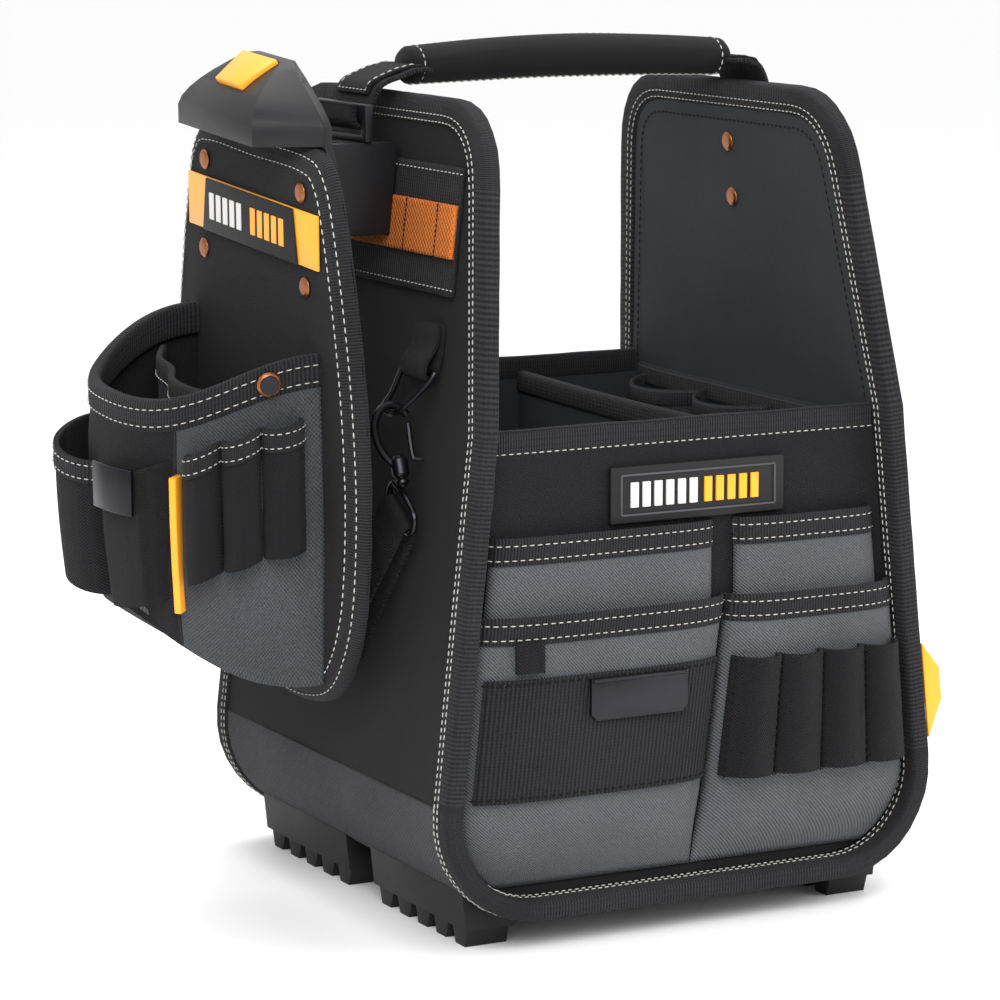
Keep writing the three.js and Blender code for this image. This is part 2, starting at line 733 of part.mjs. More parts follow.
/** The yoke: a flat plastic bar with a slot that the handle's webbing passes through. */
function yoke() {
  const half = handleWebbing / 2 + 2;
  const thick = 2;
  const plate = box(yokeX - thick, yokeX + thick, -half - 5, half + 5, receiverTop + gap, yokeZ + 6);
  const slot = box(yokeX - 9, yokeX + 9, -half, half, receiverTop + 3.6, yokeZ - 1.4);
  return cut(plate, slot);
}
tote.add(named('webbing_yoke', yoke(), blackPlastic));

// Rivets hold the receiver through the bands and the wall.
const receiverGrip = 9; // depth of the rivet's blind hole in the receiver's base
rivetHeights.forEach((z, i) => {
  const length = wall + bandLift + receiverGrip;
  const shank = new THREE.CylinderGeometry(rivetRadius, rivetRadius, length, 12).rotateZ(Math.PI / 2)
    .translate(wall + gap - length / 2, 0, 0);
  const head = new THREE.CylinderGeometry(rivetHead * 0.7, rivetHead, 1.6, 12).rotateZ(-Math.PI / 2)
    .translate(wall + gap + 0.8, 0, 0);
  const mesh = named(`receiver_rivet_${i + 1}`, join(shank, head), copper);
  mesh.position.z = up(z);
  leftSide.add(mesh);
});

// Hanger: a short hairpin of webbing on the wall that holds a triangular ring.
const hangerY = -74;
const ringBarZ = topHeight - 126;
const ringBarX = -outside(ringBarZ, 6.5);
const hangerPath = curveThrough([
  [-outside(ringBarZ + 22, webLift + 0.2), hangerY, ringBarZ + 22],
  [-outside(ringBarZ + 8, webLift + 0.2), hangerY, ringBarZ + 8],
  [ringBarX + 3.2, hangerY, ringBarZ],
  [ringBarX + 2.3, hangerY, ringBarZ - 2.3],
  [ringBarX, hangerY, ringBarZ - 3.2],
  [ringBarX - 2.3, hangerY, ringBarZ - 2.3],
  [ringBarX - 3.2, hangerY, ringBarZ],
  [ringBarX - 2, hangerY, ringBarZ + 5],
  [-outside(ringBarZ + 12, webLift + 3.4), hangerY, ringBarZ + 12],
  [-outside(ringBarZ + 22, webLift + 2.9), hangerY, ringBarZ + 22],
]);
tote.add(named('hanger_loop', strapAlong(hangerPath, yAxis, tetherWebbing, 1.6, 28), webbing));

const hookLean = -22; // the hook's top leans towards the back
const hookYaw = -102; // its gate's side turned towards the wall, across the ring's wire
const hookFootZ = topHeight - 184;
const hookFoot = new THREE.Vector3(-outside(hookFootZ, 12.87), -84, hookFootZ);
const hookEye = 40.5; // height of the ring's wire inside the hook
const eyeY = hookFoot.y - Math.sin(radians(hookLean)) * hookEye;
const eyeZ = hookFoot.z + Math.cos(radians(hookLean)) * hookEye;
const wire = 1.4;
const eyeHalfWidth = 8;
const barHalf = tetherWebbing / 2 + 3.5;
const triangle = curveThrough([
  [ringBarX, hangerY - barHalf, ringBarZ],
  [ringBarX, hangerY - barHalf * 0.4, ringBarZ],
  [ringBarX, hangerY + barHalf * 0.4, ringBarZ],
  [ringBarX, hangerY + barHalf, ringBarZ],
  [lerp(ringBarX, hookFoot.x, 0.6), lerp(hangerY + barHalf, eyeY + eyeHalfWidth, 0.6), lerp(ringBarZ, eyeZ, 0.6)],
  [hookFoot.x, eyeY + eyeHalfWidth, eyeZ + 2],
  [hookFoot.x, eyeY, eyeZ],
  [hookFoot.x, eyeY - eyeHalfWidth, eyeZ + 2],
  [lerp(ringBarX, hookFoot.x, 0.6), lerp(hangerY - barHalf, eyeY - eyeHalfWidth, 0.6), lerp(ringBarZ, eyeZ, 0.6)],
], true);
tote.add(named('triangle_ring', new THREE.TubeGeometry(triangle, 48, wire, 8, true), darkSteel));

// The snap hook: its body and claw turn on the swivel, and the gate turns on the body.
const snapHook = new THREE.Group();
snapHook.position.copy(hookFoot);
snapHook.rotation.set(radians(hookLean), 0, radians(hookYaw));

const clawPath = curveThrough([
  [0, -2.2, 16], [0, -6, 21], [0, -8.5, 28], [0, -8.5, 36], [0, -5, 42.5], [0, 0, 45], [0, 5, 43], [0, 7.6, 39],
]);
const hookBody = new THREE.LatheGeometry(
  [[0, 5.2], [1.2, 5.2], [1.6, 5.8], [3.4, 6.8], [3.4, 8], [2.4, 9.4], [4.2, 11], [4.4, 18], [2.6, 20], [0, 20]].map(([r, h]) => new THREE.Vector2(r, h)),
  12).rotateX(Math.PI / 2);
snapHook.add(named('snap_hook', join(hookBody, barAlong(clawPath, 2, 20)), darkSteel));

const gatePath = curveThrough([[0, 7.4, 17.5], [0, 7, 22], [0, 7.2, 28], [0, 7.6, 35]]);
const leverPath = curveThrough([[0, 7.4, 18.6], [0, 9.5, 17.6], [0, 12, 17.6]]);
snapHook.add(named('hook_gate', join(barAlong(gatePath, 1.3, 6), barAlong(leverPath, 1.3, 4)), darkSteel));
tote.add(snapHook);

// Under the swivel: a bar ring and a closed loop of webbing that leans back and rests near the wall.
const strapLean = 33;
const tether = new THREE.Group();
tether.position.set(hookFoot.x, hookFoot.y, hookFoot.z);
tether.rotation.x = radians(strapLean);
const eyeHalf = tetherWebbing / 2 + 2;
const barZ = -11.9; // the ring's straight bar, which the strap goes round
const barRing = curveThrough([
  [0, -4, 0], [0, -eyeHalf + 2, -1.6], [0, -eyeHalf, -6], [0, -eyeHalf + 2.4, barZ], [0, 0, barZ],
  [0, eyeHalf - 2.4, barZ], [0, eyeHalf, -6], [0, eyeHalf - 2, -1.6], [0, 4, 0],
], true);
tether.add(named('swivel_ring', new THREE.TubeGeometry(barRing, 40, 1.5, 8, true), darkSteel));

const strapLength = 96;
const strapBulge = 5;
const overBar = [180, 135, 90, 45, 0].map((a) => [3.3 * Math.cos(radians(a)), 0, barZ + 3.3 * Math.sin(radians(a))]);
const strapLoop = curveThrough([
  ...overBar.slice().reverse(), [-4, 0, barZ - 8], [-3 - strapBulge, 0, -45], [-6 - strapBulge, 0, -strapLength + 24],
  [-5.5 - strapBulge, 0, -strapLength + 7], [-7, 0, -strapLength], [-3.4, 0, -strapLength + 6],
  [-3, 0, -strapLength + 24], [0.6, 0, -45], [3.4, 0, barZ - 8],
], true);
tether.add(named('tether_strap', strapAlong(strapLoop, yAxis, tetherWebbing - 1, 1.8, 48, true), webbing));
tote.add(tether);

// ---------------------------------------------------------------- the pouch

const pouchPlace = new THREE.Group();
pouchPlace.position.set(slotBack - pouchStandOff, 0, pouchFoot);
pouchPlace.rotation.z = Math.PI / 2;
const tilted = new THREE.Group();
tilted.rotation.x = -radians(pouchTilt);
const rolled = new THREE.Group();
rolled.position.z = pouchHang;
rolled.rotation.y = -radians(pouchRoll);
const pouch = new THREE.Group();
pouch.position.z = -pouchHang;
pouchPlace.add(tilted);
tilted.add(rolled);
rolled.add(pouch);

const pouchTop = 260;
const pouchOutline = new THREE.CatmullRomCurve3([
  [0, -12], [42, -10], [74, 2], [97, 36], [106, 88], [105, 132], [99, 175], [86, 228], [79, 246], [68, 257],
  [54, pouchTop], [0, pouchTop], [-54, pouchTop], [-68, 257], [-79, 246], [-86, 228], [-99, 175], [-105, 132],
  [-106, 88], [-97, 36], [-74, 2], [-42, -10],
].map(([x, z]) => new THREE.Vector3(x, 0, z)), true, 'centripetal');

/** A point on the pouch panel's edge, moved inwards by `inset`. */
function edgePoint(t, inset) {
  const tangent = pouchOutline.getTangentAt(t % 1);
  const inwards = new THREE.Vector3(-tangent.z, 0, tangent.x);
  return pouchOutline.getPointAt(t % 1).addScaledVector(inwards, inset);
}

const edgeSteps = 56;
function pouchPanel() {
  const outline = [];
  for (let i = 0; i < edgeSteps; i++) {
    const p = edgePoint(i / edgeSteps, pouchEdge + gap);
    outline.push(new THREE.Vector2(p.x, p.z));
  }
  return extrudeAlongY(new THREE.Shape(outline), pouchFace - pouchPlate, pouchFace);
}

function pouchBinding() {
  const thickness = 4;
  const face = (lift) => (u, v) => {
    const p = edgePoint(u, lerp(pouchEdge, lift ? 0 : 2, v));
    const y = pouchFace - (pouchFace - thickness) * v ** 2;
    return [p.x, y - (lift ? 0 : thickness), p.z];
  };
  return sheet(edgeSteps, 3, face(true), face(false), true);
}

// Four rivets hold the pouch panel on the hub's plate.
const hubRivets = [[-55, 240], [55, 240], [-58, 196], [58, 196]];
const hubPlateThickness = 3.7;
const throughPanel = (x, z) => new THREE.CylinderGeometry(rivetRadius + gap, rivetRadius + gap, 40, 12).translate(x, 0, z);
const hubDrills = hubRivets.map(([x, z]) => throughPanel(x, z));

const panelWithHoles = cut(pouchPanel(), ...hubDrills);
pouch.add(named('pouch_panel', panelWithHoles, black));
pouch.add(named('pouch_binding', pouchBinding(), tape));

const plateLow = 186;
const hoodFoot = pouchTop + 1;
const ridgeHalf = 20;
const ridgeTop = 296;
const hoodBackHalf = 59;
const hoodFrontHalf = 43;
const hoodReach = 30;
const hoodBand = 9;

/** The hood's half width at its back plate, from its foot (0) to its ridge (1). */
const archHalf = (t) => lerp(hoodBackHalf, ridgeHalf, t ** 1.25);

function hubPlate() {
  const outline = [[-65, plateLow + 8], [-57, plateLow], [57, plateLow], [65, plateLow + 8], [65, pouchTop - 6], [hoodBackHalf, hoodFoot]];
  const arch = [];
  for (let i = 0; i <= 8; i++) arch.push([archHalf(i / 8), lerp(hoodFoot + hoodBand, ridgeTop, i / 8)]);
  const left = arch.map(([x, z]) => [-x, z]).reverse();
  const points = [...outline, ...arch, ...left, [-hoodBackHalf, hoodFoot], [-65, pouchTop - 6]];
  const shape = new THREE.Shape(points.map(([x, z]) => new THREE.Vector2(x, z)));
  return cut(extrudeAlongY(shape, -gap - hubPlateThickness, -gap), ...hubDrills);
}

/** The hood: a roofed cover that slopes out from the plate, open underneath. */
function hoodSolid(inset, foot) {
  const levels = [[0, foot], [0, hoodFoot + hoodBand]];
  for (let i = 1; i <= 6; i++) levels.push([i / 6, lerp(hoodFoot + hoodBand, ridgeTop, i / 6) - (i === 6 ? inset : 0)]);
  const ring = ([t, z]) => {
    const back = archHalf(t) - inset;
    const front = lerp(hoodFrontHalf, ridgeHalf, t ** 1.4) - inset;
    const reach = lerp(hoodReach, 4, t ** 1.7) - inset;
    const depth = Math.max(reach, 0.8);
    return [[-back, 0, z], [-front, depth, z], [front, depth, z], [back, 0, z]];
  };
  return loft(levels.map(ring));
}

// The release button sits in a window in the hood's roof and presses square into its slope.
const buttonTop = [6, 297]; // outward and height of its upper edge
const buttonLow = [23, 285.5];
const buttonTravel = 2;
const pressAxis = new THREE.Vector2(-(buttonTop[1] - buttonLow[1]), -(buttonLow[0] - buttonTop[0])).normalize();

function buttonSolid(grow, proudBy, depth) {
  const slope = new THREE.Vector2(buttonLow[0] - buttonTop[0], buttonLow[1] - buttonTop[1]).normalize();
  const face = (sink) => (u, v) => {
    const half = lerp(ridgeHalf - 1, 14, v) + grow;
    const along = slope.clone().multiplyScalar((2 * v - 1) * grow);
    const y = lerp(buttonTop[0], buttonLow[0], v) + along.x + pressAxis.x * sink;
    const z = lerp(buttonTop[1], buttonLow[1], v) + along.y + pressAxis.y * sink;
    return [lerp(-half, half, u), y, z];
  };
  return sheet(1, 1, face(-proudBy), face(depth));
}

const hoodWall = 2.5;
const hoodSeat = -2 * gap - 0.4; // its back edge is fused into the plate
const hood = cut(hoodSolid(0, hoodFoot), hoodSolid(hoodWall, hoodFoot - 2), buttonSolid(0.5, 6, 20))
  .translate(0, hoodSeat, 0);
pouch.add(named('release_button', buttonSolid(0, 0.5, 5).translate(0, hoodSeat, 0), orangePlastic));

const rivetStack = hubPlateThickness + gap + pouchFace + gap;
hubRivets.forEach(([x, z], i) => {
  const mesh = named(`hub_rivet_${i + 1}`, rivet(rivetStack + 2 * gap).rotateZ(Math.PI / 2), copper);
  mesh.position.set(x, -2 * gap - hubPlateThickness, z);
  pouch.add(mesh);
});

// The badge: a coloured plate with a rubber centre over its middle.
const badgeLow = 206;
const badgeHigh = 232;
const badgeFace = pouchFace + gap;
function plateOf(points, y0, y1) {
  return extrudeAlongY(new THREE.Shape(points.map(([x, z]) => new THREE.Vector2(x, z))), y0, y1);
}
pouch.add(named('badge_plate', plateOf([[-74, badgeLow], [74, badgeLow], [74, badgeHigh], [-74, badgeHigh]],
  badgeFace, badgeFace + 1.5), orangePlastic));
pouch.add(named('pouch_badge', plateOf([[-54, badgeLow], [54, badgeLow], [49.5, badgeHigh], [-49.5, badgeHigh]],
  badgeFace + 1.5 + gap, badgeFace + 3), rubber));

// The bag, as a half oval that bellies out and is drawn in under its foot.
const roundness = 2.3;
const power = (value) => Math.sign(value) * Math.abs(value) ** (2 / roundness);
const rimHeight = (angle) => rimFront + rimRise * Math.cos(angle) ** 4;
const footHeight = (angle) => 8 + 34 * Math.sin(angle) ** 2;
const bagBack = pouchFace + gap;

/** A point on the bag's side: angle 0 is at +X, a right angle is the front; v runs from rim to foot. */
function bagPoint(angle, v, lift) {
  const belly = 1 + 0.035 * Math.sin(Math.PI * v) - 0.03 * v;
  const half = bagHalfWidth * belly + lift;
  const depth = (bagDepth - bagBack) * belly + lift;
  const z = lerp(rimHeight(angle), footHeight(angle), v);
  return [half * power(Math.cos(angle)), bagBack + depth * power(Math.sin(angle)), z];
}

function bag() {
  const sideShare = 0.7;
  const face = (lift, raise) => (u, v) => {
    const angle = Math.PI * u;
    if (v <= sideShare) return bagPoint(angle, v / sideShare, lift);
    const under = (v - sideShare) / (1 - sideShare);
    const [x, y, z] = bagPoint(angle, 1, lift);
    const draw = Math.cos(under * Math.PI / 2);
    const low = -6 + raise;
    return [x * draw, bagBack + (y - bagBack) * draw, lerp(low, z + raise * under, draw ** 1.3)];
  };
  return sheet(20, 10, face(0, 0), face(-bagCloth, bagCloth));
}
pouch.add(named('pouch_bag', bag(), grey));

function rimBinding() {
  const face = (lift) => (u, v) => {
    const angle = Math.PI * u;
    const [x, y, z] = bagPoint(angle, 0, lift);
    return [x, y, lerp(z - rimTape, z + 1, v)];
  };
  return sheet(20, 1, face(gap + 3.4), face(gap + 1.4));
}
pouch.add(named('rim_binding', rimBinding(), tape));

/** The inner wall that parts the bag in two, in a slack S from side to side. */
function bagDivider() {
  const path = curveThrough([[64.6, 31, 0], [36, 45, 0], [10, 50, 0], [-16, 60, 0], [-42, 58, 0], [-61, 45, 0]]);
  const face = (lift) => (u, v) => {
    const p = path.getPoint(u);
    const normal = path.getTangent(u).cross(new THREE.Vector3(0, 0, 1));
    p.addScaledVector(normal, lift);
    return [p.x, p.y, lerp(48, rimFront + 4 + 6 * u * (1 - u), v)];
  };
  return sheet(14, 2, face(1.2), face(-1.2));
}
pouch.add(named('bag_divider', bagDivider(), black));

// Bands of webbing round the bag: a flat sleeve in front, one loop behind it and three before it.
const loopTop = (angle) => 108 + 30 * Math.cos(angle) ** 2;
function bagBand(from, to, base, bulge, thickness, steps, height = bagLoopHeight) {
  const face = (lift) => (u, v) => {
    const angle = radians(lerp(from, to, u));
    const z = loopTop(angle) - height * (1 - v);
    const share = (rimHeight(angle) - z) / (rimHeight(angle) - footHeight(angle));
    return bagPoint(angle, Math.min(1, share), base + lift + bulge(u));
  };
  return sheet(steps, 4, face(thickness), face(0));
}
pouch.add(named('pouch_loop_band', bagBand(133, 175, gap, loopShape(3, bagLoopBulge), 2, 42), webbing));
// Towards the back one band makes a deep loop and then a flat sleeve.
const loopShare = 0.48;
const sleeveStand = 7.5;
const loopThenSleeve = (u) => (u < loopShare
  ? (bagLoopBulge + 4) * Math.sin(Math.PI * u / loopShare) ** 0.55
  : sleeveStand * Math.min(1, 7 * (u - loopShare), 7 * (1 - u)));
pouch.add(named('pouch_sleeve_band', bagBand(48, 126.5, gap, loopThenSleeve, 2, 44, 66), webbing));

const sleeveFace = gap + sleeveStand + 2 + gap;
const plateOn = (lift) => (u, v) => {
  const angle = radians(lerp(95, 115, u));
  const share = (rimHeight(angle) - lerp(92, 114, v)) / (rimHeight(angle) - footHeight(angle));
  return bagPoint(angle, share, sleeveFace + 1 + lift);
};
pouch.add(named('sleeve_plate', sheet(3, 1, plateOn(2), plateOn(0)), blackPlastic));

const tagOn = (lift) => (u, v) => {
  const angle = radians(lerp(128.2, 131, u));
  const share = (rimHeight(angle) - lerp(46, 112, v)) / (rimHeight(angle) - footHeight(angle));
  return bagPoint(angle, share, gap + lift);
};
pouch.add(named('pouch_tag', sheet(1, 3, tagOn(8), tagOn(0)), orangePlastic));

// One rivet through the rim at each side.
for (const [name, angle] of [['rim_rivet_front', 164], ['rim_rivet_back', 16]]) {
  const [x, y, z] = bagPoint(radians(angle), 0, gap + 3.4 + gap);
  const cap = new THREE.LatheGeometry(
    [[0, 0], [6, 0], [6, 1], [4.8, 2], [0, 2.2]].map(([r, h]) => new THREE.Vector2(r, h)), 14);
  const mesh = named(name, facingOut(welded(cap)), copper);
  const normal = new THREE.Vector3(Math.cos(radians(angle)) / bagHalfWidth, Math.sin(radians(angle)) / bagDepth, 0).normalize();
  mesh.quaternion.setFromUnitVectors(new THREE.Vector3(0, 1, 0), normal);
  mesh.position.set(x, y, z - rimTape / 2).addScaledVector(normal, 0.8);
  pouch.add(mesh);
}

// The hub is one moulding: the plate, its hood and the tongue that drops into the receiver.
// The tongue stands upright like the receiver's slot, while the plate leans with the pouch.
const tongueBack = slotBack - slideClearance;
const tongueFront = tongueBack - tongueThickness;
const neckRoot = slotBack - 21;
const neckEnd = slotBack - 26.6; // inside the leaning plate at every height of the tongue
const neckPlate = 24;
const tongueOutline = new THREE.Shape([
  [tongueBack, -tongueHalf], [tongueBack, tongueHalf], [tongueFront, tongueHalf], [tongueFront, neckHalf],
  [neckRoot, neckHalf], [neckRoot, neckPlate], [neckEnd, neckPlate], [neckEnd, -neckPlate], [neckRoot, -neckPlate],
  [neckRoot, -neckHalf], [tongueFront, -neckHalf], [tongueFront, -tongueHalf],
].map(([x, y]) => new THREE.Vector2(x, y)));
const tongueHeight = receiverTop - slotFloor - 2 * gap;
const tongue = new THREE.ExtrudeGeometry(tongueOutline, { depth: tongueHeight, bevelEnabled: false })
  .translate(0, 0, slotFloor + gap);
pouchPlace.updateMatrixWorld(true);
tongue.applyMatrix4(pouch.matrixWorld.clone().invert());
pouch.add(named('hub_body', join(hubPlate(), hood, tongue), blackPlastic));

// ---------------------------------------------------------------- the whole, standing on its feet about the origin

const object = new THREE.Group();
object.add(tote, pouchPlace);
object.updateMatrixWorld(true);
const extent = new THREE.Box3().setFromObject(object, true);
const middle = extent.getCenter(new THREE.Vector3());
object.position.set(-middle.x, -middle.y, -extent.min.z);

export default object;
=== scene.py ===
# An open electrician's tote of black and grey fabric, with a clip-on tool pouch on its left wall.
# Metres, +Z up. The tote's pocketed front faces -Y and the pouch hangs on its -X wall.
import json
import math

import bmesh
import bpy
from mathutils import Matrix, Vector, noise
from mathutils.bvhtree import BVHTree


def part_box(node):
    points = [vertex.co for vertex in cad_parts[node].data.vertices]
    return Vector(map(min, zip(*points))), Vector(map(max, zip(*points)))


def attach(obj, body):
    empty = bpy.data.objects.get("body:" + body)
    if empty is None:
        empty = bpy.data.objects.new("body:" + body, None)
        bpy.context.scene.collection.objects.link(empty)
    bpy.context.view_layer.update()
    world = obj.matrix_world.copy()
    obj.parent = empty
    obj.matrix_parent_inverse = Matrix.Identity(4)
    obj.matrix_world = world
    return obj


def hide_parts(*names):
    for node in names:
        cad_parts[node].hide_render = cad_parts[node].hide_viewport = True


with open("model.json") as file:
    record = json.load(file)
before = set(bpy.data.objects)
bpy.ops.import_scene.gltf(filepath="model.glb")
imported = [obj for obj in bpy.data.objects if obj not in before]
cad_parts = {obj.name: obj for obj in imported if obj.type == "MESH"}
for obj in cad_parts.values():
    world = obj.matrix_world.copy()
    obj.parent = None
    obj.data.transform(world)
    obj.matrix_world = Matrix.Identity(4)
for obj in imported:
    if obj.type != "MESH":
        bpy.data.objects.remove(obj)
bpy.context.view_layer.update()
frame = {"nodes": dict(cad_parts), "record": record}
nodes = frame["nodes"]
body_with = {node: body for body, held in frame["record"]["behaviour"]["bodies"].items() for node in held}
slot_of = {part["node"]: part["material_slot"] for part in frame["record"]["subparts"]}
MM = 0.001

# ---------------------------------------------------------------- camera, lights and floor
# A long lens a little above the tote's middle looks at its left front corner. The floor is plain
# and pale, and soft light comes from three sides.
board_low, board_high = (Vector(corner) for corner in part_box("floor_board"))
front_low = Vector(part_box("front_panel")[0])
panel_face = -118 * MM  # the front panel's face before the object was centred
tote_shift = Vector(((board_low.x + board_high.x) / 2, front_low.y - panel_face, 0))

camera_azimuth = math.radians(-27.64)
camera_elevation = math.radians(9.55)
camera_distance = 1.973
look_at = Vector((-0.0417, -0.0106, 0.1941)) + tote_shift
towards_camera = Vector((
    math.sin(camera_azimuth) * math.cos(camera_elevation),
    -math.cos(camera_azimuth) * math.cos(camera_elevation),
    math.sin(camera_elevation),
))
camera_data = bpy.data.cameras.new("camera")
camera_data.sensor_width = 36
camera_data.lens = 144.07
camera = bpy.data.objects.new("camera", camera_data)
camera.location = look_at + towards_camera * camera_distance
camera.rotation_euler = towards_camera.to_track_quat("Z", "Y").to_euler()
bpy.context.collection.objects.link(camera)
bpy.context.scene.camera = camera
bpy.context.scene.view_settings.view_transform = "Standard"


def soft_light(name, place, size, power):
    data = bpy.data.lights.new(name, "AREA")
    data.size = size
    data.energy = power
    light = bpy.data.objects.new(name, data)
    light.location = place
    light.rotation_euler = (Vector(place) - Vector((0, 0, 0.2))).to_track_quat("Z", "Y").to_euler()
    bpy.context.collection.objects.link(light)


soft_light("key", (-0.9, -1.5, 1.5), 1.2, 34)
soft_light("fill", (1.5, -1.2, 0.9), 1.2, 16)
soft_light("top", (0.1, 0.5, 1.9), 1.4, 22)

world = bpy.data.worlds.new("studio")
world.use_nodes = True
world.node_tree.nodes["Background"].inputs["Color"].default_value = (1, 1, 1, 1)
world.node_tree.nodes["Background"].inputs["Strength"].default_value = 1.0
bpy.context.scene.world = world

floor_mesh = bpy.data.meshes.new("floor")
bm = bmesh.new()
bmesh.ops.create_grid(bm, x_segments=1, y_segments=1, size=40)
bm.to_mesh(floor_mesh)
bm.free()
floor = bpy.data.objects.new("floor", floor_mesh)
bpy.context.collection.objects.link(floor)
floor_paint = bpy.data.materials.new("pale_floor")
floor_paint.use_nodes = True
floor_paint.node_tree.nodes["Principled BSDF"].inputs["Base Color"].default_value = (0.97, 0.97, 0.97, 1)
floor_paint.node_tree.nodes["Principled BSDF"].inputs["Roughness"].default_value = 0.6
floor_mesh.materials.append(floor_paint)

# ---------------------------------------------------------------- cloth and how it is laid
# Every fabric has a weave at its real pitch, read from the piece's own map in millimetres, with
# a little fuzz and a broad change of tone. Cloth pieces are grids that are laid on their shape.


class Graph:
    """A material's nodes, joined as arithmetic."""

    def __init__(self, name, colour, roughness, metallic=0.0):
        self.material = bpy.data.materials.new(name)
        self.material.use_nodes = True
        self.tree = self.material.node_tree
        self.shader = self.tree.nodes["Principled BSDF"]
        self.shader.inputs["Base Color"].default_value = (*colour, 1)
        self.shader.inputs["Roughness"].default_value = roughness
        self.shader.inputs["Metallic"].default_value = metallic

    def put(self, socket, value):
        if isinstance(value, (int, float)):
            socket.default_value = value
        elif isinstance(value, tuple):
            socket.default_value = (*value, 1)
        else:
            self.tree.links.new(value, socket)

    def math(self, operation, first, second=0.0):
        node = self.tree.nodes.new("ShaderNodeMath")
        node.operation = operation
        self.put(node.inputs[0], first)
        self.put(node.inputs[1], second)
        return node.outputs[0]

    def wave(self, along, pitch):
        """A sine from -1 to 1 with one turn every `pitch`."""
        return self.math("SINE", self.math("MULTIPLY", along, 2 * math.pi / pitch))

    def mix(self, share, first, second):
        node = self.tree.nodes.new("ShaderNodeMix")
        node.data_type = "RGBA"
        self.put(node.inputs["Factor"], share)
        self.put(node.inputs[6], first)
        self.put(node.inputs[7], second)
        return node.outputs[2]

    def coordinates(self, kind):
        node = self.tree.nodes.new("ShaderNodeTexCoord")
        return node.outputs[kind]

    def map_in_mm(self):
        node = self.tree.nodes.new("ShaderNodeUVMap")
        node.uv_map = "weave"
        parts = self.tree.nodes.new("ShaderNodeSeparateXYZ")
        self.tree.links.new(node.outputs[0], parts.inputs[0])
        return parts.outputs[0], parts.outputs[1]

    def noise(self, scale, detail=3.0):
        node = self.tree.nodes.new("ShaderNodeTexNoise")
        node.inputs["Scale"].default_value = scale
        node.inputs["Detail"].default_value = detail
        self.tree.links.new(self.coordinates("Object"), node.inputs["Vector"])
        return node.outputs["Fac"]

    def bump(self, height, depth):
        node = self.tree.nodes.new("ShaderNodeBump")
        node.inputs["Distance"].default_value = depth
        node.inputs["Strength"].default_value = 1.0
        self.tree.links.new(height, node.inputs["Height"])
        self.tree.links.new(node.outputs[0], self.shader.inputs["Normal"])


def shade(code):
    """A linear colour from a six-digit screen colour."""
    channels = [int(code[i:i + 2], 16) / 255 for i in (0, 2, 4)]
    return tuple(((c + 0.055) / 1.055) ** 2.4 if c > 0.04045 else c / 12.92 for c in channels)


CLOTH_ROUGHNESS = 0.85
CLOTH_SHEEN = 0.03  # a little fuzz
CLOTH_GLOSS = 0.16  # threads scatter most of what a plain surface would mirror


def cloth(name, dark, light, weave, pitch, depth=0.00025):
    """A woven material: `pitch` is the weave's repeat in millimetres."""
    graph = Graph(name, shade(dark), CLOTH_ROUGHNESS)
    u, v = graph.map_in_mm()
    if weave == "twill":
        rows = graph.wave(graph.math("ADD", u, v), pitch)
        threads = graph.wave(graph.math("SUBTRACT", u, v), pitch * 0.8)
        height = graph.math("ADD", graph.math("MULTIPLY", rows, 0.65), graph.math("MULTIPLY", threads, 0.35))
    elif weave == "basket":
        squares = graph.math("MULTIPLY", graph.wave(u, pitch), graph.wave(v, pitch))
        threads = graph.wave(graph.math("ADD", u, v), pitch / 3)
        height = graph.math("ADD", graph.math("MULTIPLY", squares, 0.8), graph.math("MULTIPLY", threads, 0.2))
    elif weave == "rib":
        ribs = graph.wave(u, pitch)
        threads = graph.wave(v, pitch * 0.7)
        height = graph.math("ADD", graph.math("MULTIPLY", ribs, 0.8), graph.math("MULTIPLY", threads, 0.2))
    elif weave == "herringbone":
        zigzag = graph.math("PINGPONG", u, pitch * 3)
        height = graph.wave(graph.math("ADD", v, zigzag), pitch)
    else:
        height = graph.math("MULTIPLY", graph.wave(u, pitch), graph.wave(v, pitch))
    fuzz = graph.math("SUBTRACT", graph.noise(1400), 0.5)
    broad = graph.math("SUBTRACT", graph.noise(16, 2), 0.5)
    tone = graph.math("ADD", graph.math("MULTIPLY", height, 0.34), 0.5)
    tone = graph.math("ADD", tone, graph.math("MULTIPLY", fuzz, 0.7))
    tone = graph.math("ADD", tone, graph.math("MULTIPLY", broad, 0.5))
    graph.put(graph.shader.inputs["Base Color"], graph.mix(tone, shade(dark), shade(light)))
    graph.shader.inputs["Sheen Weight"].default_value = CLOTH_SHEEN
    graph.shader.inputs["Sheen Roughness"].default_value = 0.5
    graph.shader.inputs["Specular IOR Level"].default_value = CLOTH_GLOSS
    graph.bump(graph.math("ADD", height, graph.math("MULTIPLY", fuzz, 1.5)), depth)
    return graph.material


def linked(name, bm, material, smooth_angle=40):
    """Turns a bmesh into a piece of the object."""
    mesh = bpy.data.meshes.new(name)
    bm.to_mesh(mesh)
    bm.free()
    for polygon in mesh.polygons:
        polygon.use_smooth = True
    mesh.set_sharp_from_angle(angle=math.radians(smooth_angle))
    mesh.materials.append(material)
    piece = bpy.data.objects.new(name, mesh)
    bpy.context.collection.objects.link(piece)
    return piece


